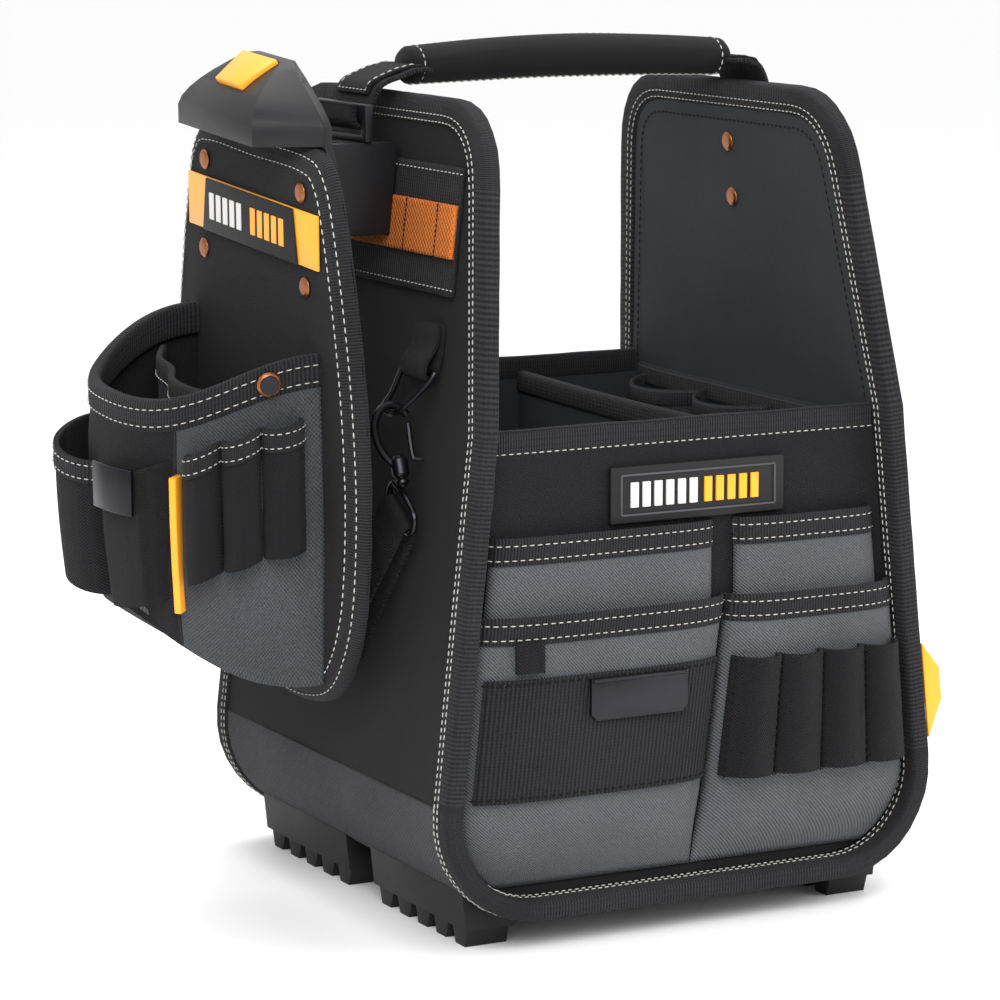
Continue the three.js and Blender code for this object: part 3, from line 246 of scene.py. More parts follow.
def laid_grid(name, columns, rows, place, material, size_mm, thickness=0.0, closed_u=False, closed_v=False):
    """A grid whose point (u, v) is laid at place(u, v); its map runs over `size_mm`, width then height."""
    bm = bmesh.new()
    weave = bm.loops.layers.uv.new("weave")
    bmesh.ops.create_grid(bm, x_segments=columns, y_segments=rows, size=0.5, calc_uvs=False)
    for face in bm.faces:
        for loop in face.loops:
            u, v = loop.vert.co.x + 0.5, loop.vert.co.y + 0.5
            loop[weave].uv = (u * size_mm[0], v * size_mm[1])
    for vertex in bm.verts:
        u, v = vertex.co.x + 0.5, vertex.co.y + 0.5
        vertex.co = Vector(place(u, v))
    if closed_u or closed_v:
        bmesh.ops.remove_doubles(bm, verts=bm.verts, dist=1e-6)
    piece = linked(name, bm, material)
    if thickness:
        wall = piece.modifiers.new("thickness", "SOLIDIFY")
        wall.thickness = thickness
        wall.offset = -1
        wall.use_even_offset = True
    return piece


def stands_for(piece, *replaced, body=None, slot=None):
    """Rides a piece with the body of the CAD nodes that it replaces, and hides those nodes."""
    first = replaced[0] if replaced else None
    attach(piece, body or body_with[first])
    if replaced:
        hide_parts(*replaced)
    slot or slot_of[first]
    return piece

# ---------------------------------------------------------------- the tote's outline
# The side walls and floor are one padded U that leans in towards its top; the sizes are the
# CAD part's own, about the tote's centre plane.
FLOOR_WIDTH = 276 * MM
LEAN_SLOPE = (276 - 195) / 2 / (397 - 16)
LEAN = math.atan(LEAN_SLOPE)
UNDERSIDE = 16 * MM
TOTE_HALF_DEPTH = 132.5 * MM
TOP_HALF_DEPTH = 104.5 * MM
HEM = 246 * MM
TOTE_TOP = 397 * MM
WALL = 7 * MM
CORNER = 50 * MM
PROUD = 1.5 * MM  # how far the binding stands off each face of a wall
TAPE = 14 * MM


def up(height):
    """The distance up a side wall to a height."""
    return (height - UNDERSIDE) / math.cos(LEAN)


def outer_half(height):
    return FLOOR_WIDTH / 2 - LEAN_SLOPE * (height - UNDERSIDE)


def in_tote(x, y, z):
    """A point given about the tote's centre, in the object's frame."""
    return Vector((x, y, z)) + tote_shift


def on_wall(side, inwards, y, climb):
    """A point of a side wall's own frame: side is -1 on the left and 1 on the right."""
    x = -FLOOR_WIDTH / 2 + inwards * math.cos(LEAN) + climb * math.sin(LEAN)
    z = UNDERSIDE - inwards * math.sin(LEAN) + climb * math.cos(LEAN)
    return in_tote(-side * x, y, z)


corner_tangent = CORNER / math.tan((math.pi / 2 - LEAN) / 2)
corner_x = FLOOR_WIDTH / 2 - corner_tangent
corner_z = UNDERSIDE + CORNER


def inside_half(height, inset):
    """Half the width inside a U that is `inset` further in."""
    radius = CORNER - inset
    if height < corner_z + radius * math.sin(LEAN):
        drop = min(radius, max(0.0, corner_z - height))
        return corner_x + math.sqrt(max(0.0, radius ** 2 - drop ** 2))
    return outer_half(height) - inset / math.cos(LEAN)


CURVE_STEPS = 7


def wall_outline(inset, bottom):
    """A side wall's edge from its bottom front over the top to its bottom back, as (y, climb)."""
    half, top_half = TOTE_HALF_DEPTH - inset, TOP_HALF_DEPTH - inset
    hem, top = up(HEM), up(TOTE_TOP) - inset
    radius = 40 * MM - inset
    taper = (half - top_half) / (top - hem)
    corner_low = Vector((-top_half - taper * radius, top - radius))
    corner_tip = Vector((-top_half, top))
    corner_end = Vector((-top_half + radius, top))
    front = [Vector((-half, bottom + (hem - bottom) * i / 8)) for i in range(8)]
    front += [Vector((-half, hem)).lerp(corner_low, i / 4) for i in range(4)]
    for i in range(CURVE_STEPS + 1):
        t = i / CURVE_STEPS
        front.append(corner_low * (1 - t) ** 2 + corner_tip * 2 * t * (1 - t) + corner_end * t ** 2)
    front += [Vector((corner_end.x * (1 - i / 4), top)) for i in range(1, 4)]
    return front + [Vector((0, top))] + [Vector((-p.x, p.y)) for p in reversed(front)]


def floor_outline(inset):
    """The lower U from the left corner's top to the right one's, as (x, z)."""
    radius = CORNER - inset
    steps = 9
    left = []
    for i in range(steps + 1):
        angle = math.pi - LEAN + (math.pi / 2 + LEAN) * i / steps
        left.append(Vector((-corner_x + radius * math.cos(angle), corner_z + radius * math.sin(angle))))
    flat = [Vector((-corner_x + 2 * corner_x * i / 10, left[-1].y)) for i in range(1, 10)]
    return left + flat + [Vector((-p.x, p.y)) for p in reversed(left)]

# ---------------------------------------------------------------- side walls
# Foam between two fabrics: black knit outside the left wall, smooth dark lining inside both.
# The foam is a little uneven.


def ripple(point, size=28.0, amount=0.5 * MM):
    """A gentle unevenness of cloth."""
    return noise.noise(Vector(point) * size) * amount


def map_by_side(piece):
    """Maps each face along the two axes that it faces least, in millimetres."""
    mesh = piece.data
    weave = mesh.uv_layers.get("weave") or mesh.uv_layers.new(name="weave")
    for polygon in mesh.polygons:
        facing = max(range(3), key=lambda i: abs(polygon.normal[i]))
        across, upwards = [(1, 2), (0, 2), (0, 1)][facing]
        for loop in polygon.loop_indices:
            spot = mesh.vertices[mesh.loops[loop].vertex_index].co
            weave.data[loop].uv = (spot[across] / MM, spot[upwards] / MM)


lining_fabric = cloth("smooth_lining", "1c1e20", "36393c", "plain", 0.7, depth=0.00008)
neoprene = cloth("smooth_black_knit", "080809", "161618", "plain", 0.5, depth=0.00006)
wall_bottom = corner_tangent + 0.3 * MM


def padded_wall(name, side, outside_cloth, inside_cloth, node):
    """A rounded foam panel, laid as an outer sheet and an inner one that meet at the binding."""
    edge = wall_outline(TAPE - 0.5 * MM, wall_bottom)
    half_count = len(edge) // 2

    def place(u, v):
        row = v * half_count
        i = min(half_count - 1, int(row))
        front = edge[i].lerp(edge[i + 1], row - i)
        return front.x * (1 - 2 * u), front.y

    def face(inwards, swell):
        def spot(u, v):
            y, climb = place(u, v)
            rim = min(1.0, 14 * u, 14 * (1 - u), 10 * v + 0.3, 14 * (1 - v))
            point = on_wall(side, inwards, y, climb)
            soft = ripple(point, 14, 0.7 * MM) + ripple(point, 50, 0.25 * MM)
            lift = (swell * rim ** 0.5 + soft * rim) * (1 if inwards > WALL / 2 else -1)
            return on_wall(side, inwards + lift, y, climb)
        return spot

    span = (252, 320)
    outer = laid_grid(name + "_outside", 70, 84, face(0.0, 0.15 * MM), outside_cloth, span)
    inner = laid_grid(name + "_inside", 70, 84, face(WALL, 0.5 * MM), inside_cloth, span)
    for sheet, first in ((outer, side > 0), (inner, side < 0)):
        if first:
            sheet.data.flip_normals()
    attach(outer, "tote")
    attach(inner, "tote")
    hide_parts(node)
    return outer, inner


left_outside, left_inside = padded_wall("left_wall", -1, neoprene, lining_fabric, "left_side_panel")
right_outside, right_inside = padded_wall("right_wall", 1, neoprene, lining_fabric, "right_side_panel")
for sheet in (left_outside, left_inside, right_outside, right_inside):
    map_by_side(sheet)

# ---------------------------------------------------------------- floor wrap
# A coarse basket-weave cover goes under the floor and a little way up both walls; inside, the
# floor is lined.
trim_fabric = cloth("basket_trim", "19191b", "535356", "basket", 2.8, depth=0.0005)
trim_inner = TOTE_HALF_DEPTH - TAPE + 0.2 * MM


def wrap_sheet(name, inset, material, lip):
    outline = floor_outline(inset)
    first, last = outline[0], outline[-1]
    climb = Vector((-math.sin(LEAN), math.cos(LEAN)))
    outline = [first + Vector((-climb.x, climb.y)) * lip] + outline + [last + climb * lip]
    count = len(outline) - 1

    def place(u, v):
        row = u * count
        i = min(count - 1, int(row))
        p = outline[i].lerp(outline[i + 1], row - i)
        return in_tote(p.x, trim_inner * (2 * v - 1), p.y)

    return laid_grid(name, count * 2, 40, place, material, (400, 252))


wrap_outside = wrap_sheet("base_wrap_outside", -0.3 * MM, trim_fabric, 1 * MM)
stands_for(wrap_outside, "base_wrap")
wrap_inside = wrap_sheet("base_wrap_inside", WALL, lining_fabric, 3 * MM)
wrap_inside.data.flip_normals()
stands_for(wrap_inside, body="tote", slot="trim_fabric")

# ---------------------------------------------------------------- edge binding
# Ribbed tape folded over the raw edges and sewn through with two rows of white thread. It runs
# in one loop under both edges of the floor and over both walls.
tape_fabric = cloth("ribbed_tape", "040405", "303033", "rib", 1.5, depth=0.0003)
thread_white = cloth("white_thread", "8c8b86", "cfcdc6", "rib", 0.5, depth=0.0001)


def squared(value, power):
    """Draws a circle's sine or cosine towards a square one; a lower power is squarer."""
    return math.copysign(abs(value) ** power, value)


def stitches(name, seams, body, material=None, pitch=4.0 * MM, length=2.7 * MM, width=0.6 * MM):
    """Rows of stitches along seams: each is a list of places with normals."""
    one = bmesh.new()
    bmesh.ops.create_uvsphere(one, u_segments=6, v_segments=4, radius=0.5)
    bmesh.ops.rotate(one, verts=one.verts, cent=(0, 0, 0), matrix=Matrix.Rotation(math.pi / 2, 3, "Y"))
    bmesh.ops.scale(one, verts=one.verts, vec=(length, width, 0.7 * MM))
    stitch = bpy.data.meshes.new("stitch")
    one.to_mesh(stitch)
    one.free()
    flat = [coordinate for vertex in stitch.vertices for coordinate in vertex.co]
    bm = bmesh.new()
    for seam in seams:
        walked = 0.0
        for (start, normal), (end, _) in zip(seam, seam[1:]):
            run = (end - start).length
            if run < 1e-7 or run > 0.03:
                continue
            along = (end - start) / run
            side = normal.cross(along).normalized()
            turn = Matrix((along, side, normal)).transposed().to_4x4()
            while walked < run:
                stitch.vertices.foreach_set("co", flat)
                stitch.transform(Matrix.Translation(start + along * walked + normal * 0.15 * MM) @ turn)
                bm.from_mesh(stitch)
                walked += pitch
            walked -= run
    bpy.data.meshes.remove(stitch)
    piece = linked(name, bm, material or thread_white)
    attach(piece, body)
    return piece


tape_front, tape_back = -TOTE_HALF_DEPTH, -TOTE_HALF_DEPTH + TAPE
binding_stations = []
for a, b in zip(floor_outline(-PROUD), floor_outline(WALL + PROUD)):
    binding_stations.append((
        in_tote(a.x, tape_front, a.y), in_tote(a.x, tape_back, a.y),
        in_tote(b.x, tape_back, b.y), in_tote(b.x, tape_front, b.y),
    ))


def wall_stations(side):
    bottom = wall_bottom + 4 * MM
    outline = list(zip(wall_outline(0, bottom), wall_outline(TAPE, bottom)))
    for edge, inner in outline:
        yield (
            on_wall(side, -PROUD, edge.x, edge.y), on_wall(side, -PROUD, inner.x, inner.y),
            on_wall(side, WALL + PROUD, inner.x, inner.y), on_wall(side, WALL + PROUD, edge.x, edge.y),
        )


binding_stations += list(wall_stations(1))
back_edge = [
    tuple(Vector((p.x, 2 * tote_shift.y - p.y, p.z)) for p in station)
    for station in binding_stations[:len(floor_outline(0))]
]
binding_stations += list(reversed(back_edge))
binding_stations += list(reversed(list(wall_stations(-1))))
binding_stations.append(binding_stations[0])
binding_run = [0.0]
for before, after in zip(binding_stations, binding_stations[1:]):
    binding_run.append(binding_run[-1] + (after[0] - before[0]).length)


CORNER_POWER = 0.42  # how square a folded tape stays


def rounded_section(station, turn):
    """A point round a folded tape: square corners drawn in to soft ones."""
    a, b, c, d = station
    centre = (a + b + c + d) / 4
    across, deep = (a - b) / 2, (b - c) / 2
    angle = turn * 2 * math.pi
    x, y = math.cos(angle), math.sin(angle)
    return centre + across * squared(x, CORNER_POWER) + deep * squared(y, CORNER_POWER)


def binding_place(u, v):
    row = u * (len(binding_stations) - 1)
    i = min(len(binding_stations) - 2, int(row))
    before, after = binding_stations[i], binding_stations[i + 1]
    station = [p.lerp(q, row - i) for p, q in zip(before, after)]
    point = rounded_section(station, v)
    return point + (point - sum(station, Vector()) / 4).normalized() * ripple(point, 60, 0.35 * MM)


edge_binding = laid_grid(
    "edge_binding_tape", (len(binding_stations) - 1) * 3, 20, binding_place, tape_fabric,
    (binding_run[-1] / MM, 32), closed_u=True, closed_v=True,
)
stands_for(edge_binding, "edge_binding")


def binding_row(share, face):
    """A stitch line along the binding: face 0 is outside, 1 inside; share runs from its edge inwards."""
    seam = []
    for a, b, c, d in binding_stations:
        edge, inner = (a, b) if face == 0 else (d, c)
        normal = (a - d).normalized() if face == 0 else (d - a).normalized()
        seam.append((edge.lerp(inner, share) + normal * 0.1 * MM, normal))
    return seam


stitches("edge_binding_stitches", [
    binding_row(0.62, 0), binding_row(0.86, 0), binding_row(0.62, 1), binding_row(0.86, 1),
], "tote", pitch=3.6 * MM, length=2.5 * MM)

# ---------------------------------------------------------------- front and back panels
# Stiffened black weave stands between the two walls at each end. A ribbed hem is folded over
# its top edge and sewn with one row of white thread.


def ray_tree(*pieces):
    """A tree for finding the surface of finished pieces."""
    bm = bmesh.new()
    depsgraph = bpy.context.evaluated_depsgraph_get()
    for piece in pieces:
        mesh = bpy.data.meshes.new_from_object(piece.evaluated_get(depsgraph))
        bm.from_mesh(mesh)
        bpy.data.meshes.remove(mesh)
    tree = BVHTree.FromBMesh(bm)
    bm.free()
    return tree


def seam_on(tree, points, direction):
    """Where a line of points meets a surface along a direction, with the surface's normals."""
    seam = []
    for point in points:
        spot, normal, _, _ = tree.ray_cast(Vector(point), Vector(direction))
        if spot is not None:
            seam.append((spot, normal if normal.dot(Vector(direction)) < 0 else -normal))
    return seam


black_fabric = cloth("black_ballistic_weave", "060607", "232326", "basket", 1.4)
panel_inset = WALL + PROUD + 0.2 * MM
panel_low = UNDERSIDE + WALL + PROUD


def end_panel(name, node, facing):
    """facing is -1 at the front and 1 at the back."""
    def skin(depth_in, sign):
        def place(u, v):
            z = panel_low + (HEM - panel_low) * v
            half = inside_half(z, panel_inset)
            x = half * (2 * u - 1)
            rim = min(1.0, 12 * u, 12 * (1 - u), 12 * v, 20 * (1 - v))
            soft = ripple(Vector((x, facing, z)), 22, 0.6 * MM) * rim
            return in_tote(x, facing * (118 * MM - depth_in) + sign * facing * soft, z)
        return place
    outer = laid_grid(name + "_outside", 60, 60, skin(0, 1), black_fabric, (250, 222))
    inner = laid_grid(name + "_inside", 60, 60, skin(5 * MM, -1), lining_fabric, (250, 222))
    if facing > 0:
        outer.data.flip_normals()
    else:
        inner.data.flip_normals()
    stands_for(outer, node)
    stands_for(inner, body="tote", slot=slot_of[node])

    def hem_place(u, v):
        half = inside_half(HEM, panel_inset) - 0.3 * MM
        turn = 2 * math.pi * v
        y = 115.5 * MM + 3.2 * MM * squared(math.cos(turn), 0.6)
        z = HEM - 6 * MM + 6.4 * MM * squared(math.sin(turn), 0.5)
        x = half * (2 * u - 1)
        return in_tote(x, facing * y, z + ripple(Vector((x, 0, 0)), 30, 0.5 * MM))
    hem = laid_grid(name + "_hem", 50, 20, hem_place, tape_fabric, (232, 34), closed_v=True)
    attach(hem, "tote")
    return hem


front_hem = end_panel("front_panel", "front_panel", -1)
back_hem = end_panel("back_panel", "back_panel", 1)
HEM_SEAM_HALF = 108 * MM
for facing, hem in ((-1, front_hem), (1, back_hem)):
    hem_tree = ray_tree(hem)
    line = [in_tote(HEM_SEAM_HALF * (2 * i / 60 - 1), facing * 160 * MM, HEM - 10.5 * MM) for i in range(61)]
    seam = seam_on(hem_tree, line, (0, -facing, 0))
    stitches(f"top_hem_stitches_{'front' if facing < 0 else 'back'}", [seam], "tote")

# ---------------------------------------------------------------- front pockets
# Two tiers of grey twill pockets, each slack across its middle, with ribbed hems that are sewn
# with two rows of white thread.
grey_fabric = cloth("grey_twill", "35373a", "66686c", "twill", 1.6)
CLOTH = 1.5 * MM
MIDDLE_SEAM = 21 * MM
SEAM_LEAN = 0.13
TIERS = {"upper": (118 * MM, 196 * MM, 6 * MM), "lower": (30 * MM, 160 * MM, 14 * MM)}
POCKET_INSET = WALL + PROUD + 0.6 * MM
FOLD_START, FOLD_END = 0.6, 0.8  # where a hem's tape goes over the pocket's mouth, along its width


def seam_x(z, offset):
    return MIDDLE_SEAM + offset - SEAM_LEAN * max(0.0, TIERS["lower"][1] - z)


def pocket_sides(tier, side):
    """The left and right edges of a front pocket at a height."""
    nest = 6 * MM if tier == "upper" else 0.3 * MM

    def edges(z):
        outer = inside_half(z, POCKET_INSET) - nest
        return (-outer, seam_x(z, -nest)) if side == "left" else (seam_x(z, nest), outer)
    return edges


def pocket_spot(tier, side):
    """A point of a front pocket's skin: across it, up it and standing off it."""
    bottom, top, stand_off = TIERS[tier]
    edges = pocket_sides(tier, side)

    def spot(u, v, lift):
        z = bottom + (top - bottom) * v
        left, right = edges(z)
        u = min(1.0, max(0.0, u))
        fullness = math.sqrt(max(0.0, 1 - abs(2 * u - 1) ** 4))
        rise = math.sin(min(1.0, v / 0.35) * math.pi / 2)
        x = left + (right - left) * u
        slack = ripple(Vector((x, 0.3 if tier == "upper" else 0.7, z)), 26, 0.8 * MM) * fullness
        y = -118 * MM - 0.3 * MM - lift - stand_off * fullness * rise - abs(slack)
        return in_tote(x, y, z)
    return spot


hem_rows = []
for tier in ("upper", "lower"):
    for side in ("left", "right"):
        spot = pocket_spot(tier, side)
        bottom, top, _ = TIERS[tier]
        left, right = pocket_sides(tier, side)(top)
        wide, tall = (right - left) / MM, (top - bottom) / MM
        pocket = laid_grid(f"front_pocket_{tier}_{side}_cloth", 48, 44,
                           lambda u, v: spot(u, v, CLOTH - 0.2 * MM),
                           grey_fabric, (wide, tall), thickness=CLOTH - 0.3 * MM)
        stands_for(pocket, f"front_pocket_{tier}_{side}")
        share = 12 * MM / (top - bottom)

        def hem_spot(u, v):
            # The tape is folded over the pocket's mouth: up its face, over its edge and down inside.
            if v < FOLD_START:
                return spot(u, 1 - share * (1 - v / FOLD_START), CLOTH + 0.55 * MM)
            if v < FOLD_END:
                turn = (v - FOLD_START) / (FOLD_END - FOLD_START) * math.pi
                point = spot(u, 1, CLOTH / 2 + (CLOTH / 2 + 0.55 * MM) * math.cos(turn))
                return point + Vector((0, 0, math.sin(turn) * 0.9 * MM))
            return spot(u, 1 - share * 0.6 * (v - FOLD_END) / (1 - FOLD_END), -0.3 * MM)
        hem = laid_grid(f"front_pocket_{tier}_{side}_hem", 56, 20, hem_spot, tape_fabric,
                        (wide, 30), thickness=0.5 * MM)
        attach(hem, "tote")
        for drop in (2.6 * MM, 9.4 * MM):
            row = []
            for i in range(61):
                spot_here = spot(i / 60, 1 - drop / (top - bottom), CLOTH + 0.75 * MM)
                row.append((spot_here, Vector((0, -1, 0))))
            hem_rows.append(row)
stitches("front_hem_stitches", hem_rows, "tote")

# ---------------------------------------------------------------- front webbing
# A flat band of 58 mm webbing crosses the left pocket and carries a tape-measure plate, and on
# the right one band is sewn down between its tool loops.
webbing_fabric = cloth("ribbed_webbing", "040405", "212124", "herringbone", 1.6, depth=0.0003)
webbing_upright = cloth("upright_rib_webbing", "030304", "2a2a2d", "rib", 2.2, depth=0.0003)
thread_black = cloth("black_thread", "030303", "101010", "rib", 0.5, depth=0.0001)
BAND_LOW, BAND_HIGH = 74 * MM, 132 * MM
lower_bottom, lower_top, _ = TIERS["lower"]


def band_spot(side, lift, bulge):
    spot = pocket_spot("lower", side)

    def place(u, v):
        z = BAND_LOW + (BAND_HIGH - BAND_LOW) * v
        return spot(0.03 + 0.94 * u, (z - lower_bottom) / (lower_top - lower_bottom),
                    CLOTH + 0.6 * MM + lift + bulge(u, v))
    return place


flat_place = band_spot("left", 1.9 * MM, lambda u, v: 0.0)
flat_band = laid_grid("front_webbing_band_cloth", 50, 24, flat_place, webbing_upright, (131, 58),
                      thickness=1.8 * MM)
stands_for(flat_band, "front_webbing_band")
LOOPS = 4


def tool_loop(u, v):
    """A loop's stand-off: a little fuller at its mouth than at its foot."""
    arch = abs(math.sin(math.pi * LOOPS * u)) ** 0.55
    return 9 * MM * arch * (0.9 + 0.1 * v)


loop_band = laid_grid("front_loop_band_cloth", 160, 20, band_spot("right", 1.9 * MM, tool_loop),
                      webbing_fabric, (150, 58), thickness=1.8 * MM)
stands_for(loop_band, "front_loop_band")

band_rows = []
for v in (0.035, 0.965):
    row = [(flat_place(i / 60, v) + Vector((0, -0.1 * MM, 0)), Vector((0, -1, 0))) for i in range(61)]
    band_rows.append(row)
stitches("front_band_stitches", band_rows, "tote", material=thread_black, width=1.0 * MM)
tack_rows = []
tack_place = band_spot("right", 2.0 * MM, tool_loop)
for joint in range(1, LOOPS):
    for offset in (-0.006, 0.006):
        u = joint / LOOPS + offset
        tack_rows.append([(tack_place(u, i / 14), Vector((0, -1, 0))) for i in range(15)])
for u in (0.012, 0.988):
    tack_rows.append([(tack_place(u, i / 14), Vector((0, -1, 0))) for i in range(15)])
stitches("front_loop_stitches", tack_rows, "tote", material=thread_black, width=1.0 * MM)

# ---------------------------------------------------------------- metal and plastic
# Mouldings and hardware keep their CAD shape, with their edges broken and a moulded or plated
# finish that is a little uneven.


def moulded(name, colour, wear, roughness, grain=900, depth=0.00004, metallic=0.0, coat=0.0):
    """A moulded or plated finish that wears towards the colour `wear`."""
    graph = Graph(name, shade(colour), roughness, metallic)
    fine = graph.noise(grain, 2)
    broad = graph.noise(25, 3)
    worn_share = graph.math("MULTIPLY", broad, 0.5)
    graph.put(graph.shader.inputs["Base Color"], graph.mix(worn_share, shade(colour), shade(wear)))
    rough = graph.math("ADD", graph.math("MULTIPLY", broad, 0.25), roughness - 0.12)
    graph.put(graph.shader.inputs["Roughness"], rough)
    graph.shader.inputs["Coat Weight"].default_value = coat
    graph.shader.inputs["Specular IOR Level"].default_value = 0.28
    graph.bump(fine, depth)
    return graph.material


black_moulding = moulded("black_moulding", "101012", "222226", 0.42)
orange_moulding = moulded("orange_moulding", "f59a14", "ffb848", 0.36, coat=0.2)
soft_rubber = moulded("soft_rubber", "0d0d0e", "1f1f22", 0.6, grain=500, depth=0.00008)
black_plating = moulded("black_plating", "1c1c1f", "4a4a50", 0.28, grain=300, metallic=0.9)
copper_plating = moulded("copper_plating", "7c4527", "c98a5a", 0.34, grain=300, metallic=0.9)
grey_moulding = moulded("grey_moulding", "3c3b3e", "58565a", 0.5)
pale_rubber = moulded("pale_rubber", "c9c8c4", "e6e5e1", 0.5)


def merged_copy(node):
    """A bmesh of a CAD node with its loose triangles merged into flat faces."""
    source = nodes[node].data
    mesh = bpy.data.meshes.new("merged")
    mesh.from_pydata([v.co.copy() for v in source.vertices], [], [tuple(p.vertices) for p in source.polygons])
    bm = bmesh.new()
    bm.from_mesh(mesh)
    bpy.data.meshes.remove(mesh)
    bmesh.ops.remove_doubles(bm, verts=bm.verts, dist=2e-6)
    bmesh.ops.dissolve_limit(bm, angle_limit=math.radians(1), verts=bm.verts, edges=bm.edges)
    return bm


def eased(node, material, width):
    """A CAD moulding with its edges broken."""
    bm = merged_copy(node)
    sharp = [e for e in bm.edges if len(e.link_faces) == 2 and e.calc_face_angle(0) > math.radians(32)]
    bmesh.ops.bevel(bm, geom=sharp, offset=width, affect="EDGES", segments=2, profile=0.5,
                    material=-1, clamp_overlap=True)
    piece = linked(node + "_finished", bm, material, 50)
    map_by_side(piece)
    return stands_for(piece, node)


eased("tape_clip_plate", black_plating, 0.3 * MM)
for end in ("front", "back"):
    for side in ("left", "right"):
        eased(f"foot_{end}_{side}", soft_rubber, 0.9 * MM)
eased("side_tag", orange_moulding, 0.4 * MM)
eased("floor_board", soft_rubber, 0.6 * MM)
for name in ("handle_rivet_1", "handle_rivet_2", "receiver_rivet_1", "receiver_rivet_2"):
    eased(name, copper_plating, 0.25 * MM)

# The plate's bright rolled top edge.
plate_low, plate_high = (Vector(c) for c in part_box("tape_clip_plate"))
bm = bmesh.new()
bmesh.ops.create_cone(bm, segments=14, radius1=1.1 * MM, radius2=1.1 * MM,
                      depth=plate_high.x - plate_low.x - 2 * MM, cap_ends=True)
bmesh.ops.rotate(bm, verts=bm.verts, cent=(0, 0, 0), matrix=Matrix.Rotation(math.pi / 2, 3, "Y"))
rolled_middle = ((plate_low.x + plate_high.x) / 2, plate_low.y + 0.2 * MM, plate_high.z - 1 * MM)
bmesh.ops.translate(bm, verts=bm.verts, vec=rolled_middle)
rolled = linked("tape_clip_rolled_edge", bm, black_plating)
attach(rolled, "tote")


def raised_blocks(name, blocks, material, body, slot):
    """Small raised blocks with eased edges, given as centres and sizes."""
    bm = bmesh.new()
    for centre, size in blocks:
        made = bmesh.ops.create_cube(bm, size=1)
        bmesh.ops.scale(bm, verts=made["verts"], vec=size)
        bmesh.ops.translate(bm, verts=made["verts"], vec=centre)
    bmesh.ops.bevel(bm, geom=bm.edges[:], offset=0.25 * MM, affect="EDGES", segments=1, profile=0.5,
                    material=-1)
    piece = linked(name, bm, material)
    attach(piece, body)


badge_low, badge_high = (Vector(c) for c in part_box("front_badge"))
badge_centre = (badge_low + badge_high) / 2
badge_marks = []
half_wide, half_tall = 42 * MM, 9.5 * MM
badge_front = Vector((badge_centre.x, badge_low.y - 0.2 * MM, badge_centre.z))
for z in (-half_tall, half_tall):
    badge_marks.append((badge_front + Vector((0, 0, z)), (2 * half_wide, 1 * MM, 1 * MM)))
for x in (-half_wide, half_wide):
    badge_marks.append((badge_front + Vector((x, 0, 0)), (1 * MM, 1 * MM, 2 * half_tall)))
eased("front_badge", soft_rubber, 0.6 * MM)
raised_blocks("front_badge_border", badge_marks, grey_moulding, "tote", "rubber")
BAR_PITCH = 6.4 * MM
for name, first, count, finish, slot in (
    ("front_badge_pale_bars", -35 * MM, 6, pale_rubber, "rubber"),
    ("front_badge_orange_bars", 5 * MM, 5, orange_moulding, "orange_plastic"),
):
    bars = [
        (Vector((badge_centre.x + first + BAR_PITCH * i, badge_low.y - 0.3 * MM, badge_centre.z)),
         (4.2 * MM, 1.4 * MM, 12 * MM)) for i in range(count)
    ]
    raised_blocks(name, bars, finish, "tote", slot)

# Two small folded webbing tabs hang below the lower pockets' hems.
for side, middle in (("left", -91 * MM), ("right", 130 * MM)):
    spot = pocket_spot("lower", side)
    edges = pocket_sides("lower", side)

    def tab_place(u, v):
        z = (135 + 14 * v) * MM
        left, right = edges(z)
        across = (middle + 14 * MM * (u - 0.5) - left) / (right - left)
        return spot(across, (z - lower_bottom) / (lower_top - lower_bottom), CLOTH + 3.2 * MM)
    tab = laid_grid(f"pocket_tab_{side}", 12, 12, tab_place, webbing_fabric, (14, 14), thickness=2.4 * MM)
    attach(tab, "tote")

# ---------------------------------------------------------------- inside the tote
# A padded divider with a bound top edge, a slack pocket on the left wall and a row of sleeves on
# the right one, all in smooth dark lining.
DIVIDER_TOP, DIVIDER_FOOT, DIVIDER_REACH = 238 * MM, 26.6 * MM, 112.7 * MM


def divider_spot(offset):
    def place(u, v):
        x = 36 * MM + offset - 4 * MM * math.sin(math.pi * u) * v
        z = DIVIDER_FOOT + (DIVIDER_TOP - DIVIDER_FOOT) * v
        y = DIVIDER_REACH * (2 * u - 1)
        return in_tote(x + ripple(Vector((0, y, z)), 18, 0.9 * MM) * (1 if offset > 0 else -1) * 0.4, y, z)
    return place


divider_left = laid_grid("divider_left_face", 40, 30, divider_spot(-2 * MM), lining_fabric, (225, 211))
divider_left.data.flip_normals()
stands_for(divider_left, "long_divider")
divider_right = laid_grid("divider_right_face", 40, 30, divider_spot(2 * MM), lining_fabric, (225, 211))
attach(divider_right, "tote")


def divider_hem(u, v):
    turn = v * 2 * math.pi
    middle = divider_spot(0)(u, 1)
    x = 3.0 * MM * squared(math.cos(turn), 0.6)
    z = 6.0 * MM * squared(math.sin(turn), 0.6)
    return middle + Vector((x, 0, z - 5 * MM))


hem = laid_grid("divider_top_binding", 50, 16, divider_hem, tape_fabric, (225, 30), closed_v=True)
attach(hem, "tote")

POCKET_HALF = 109.7 * MM
pocket_low = wall_bottom + 4 * MM
pocket_high = up(240 * MM)


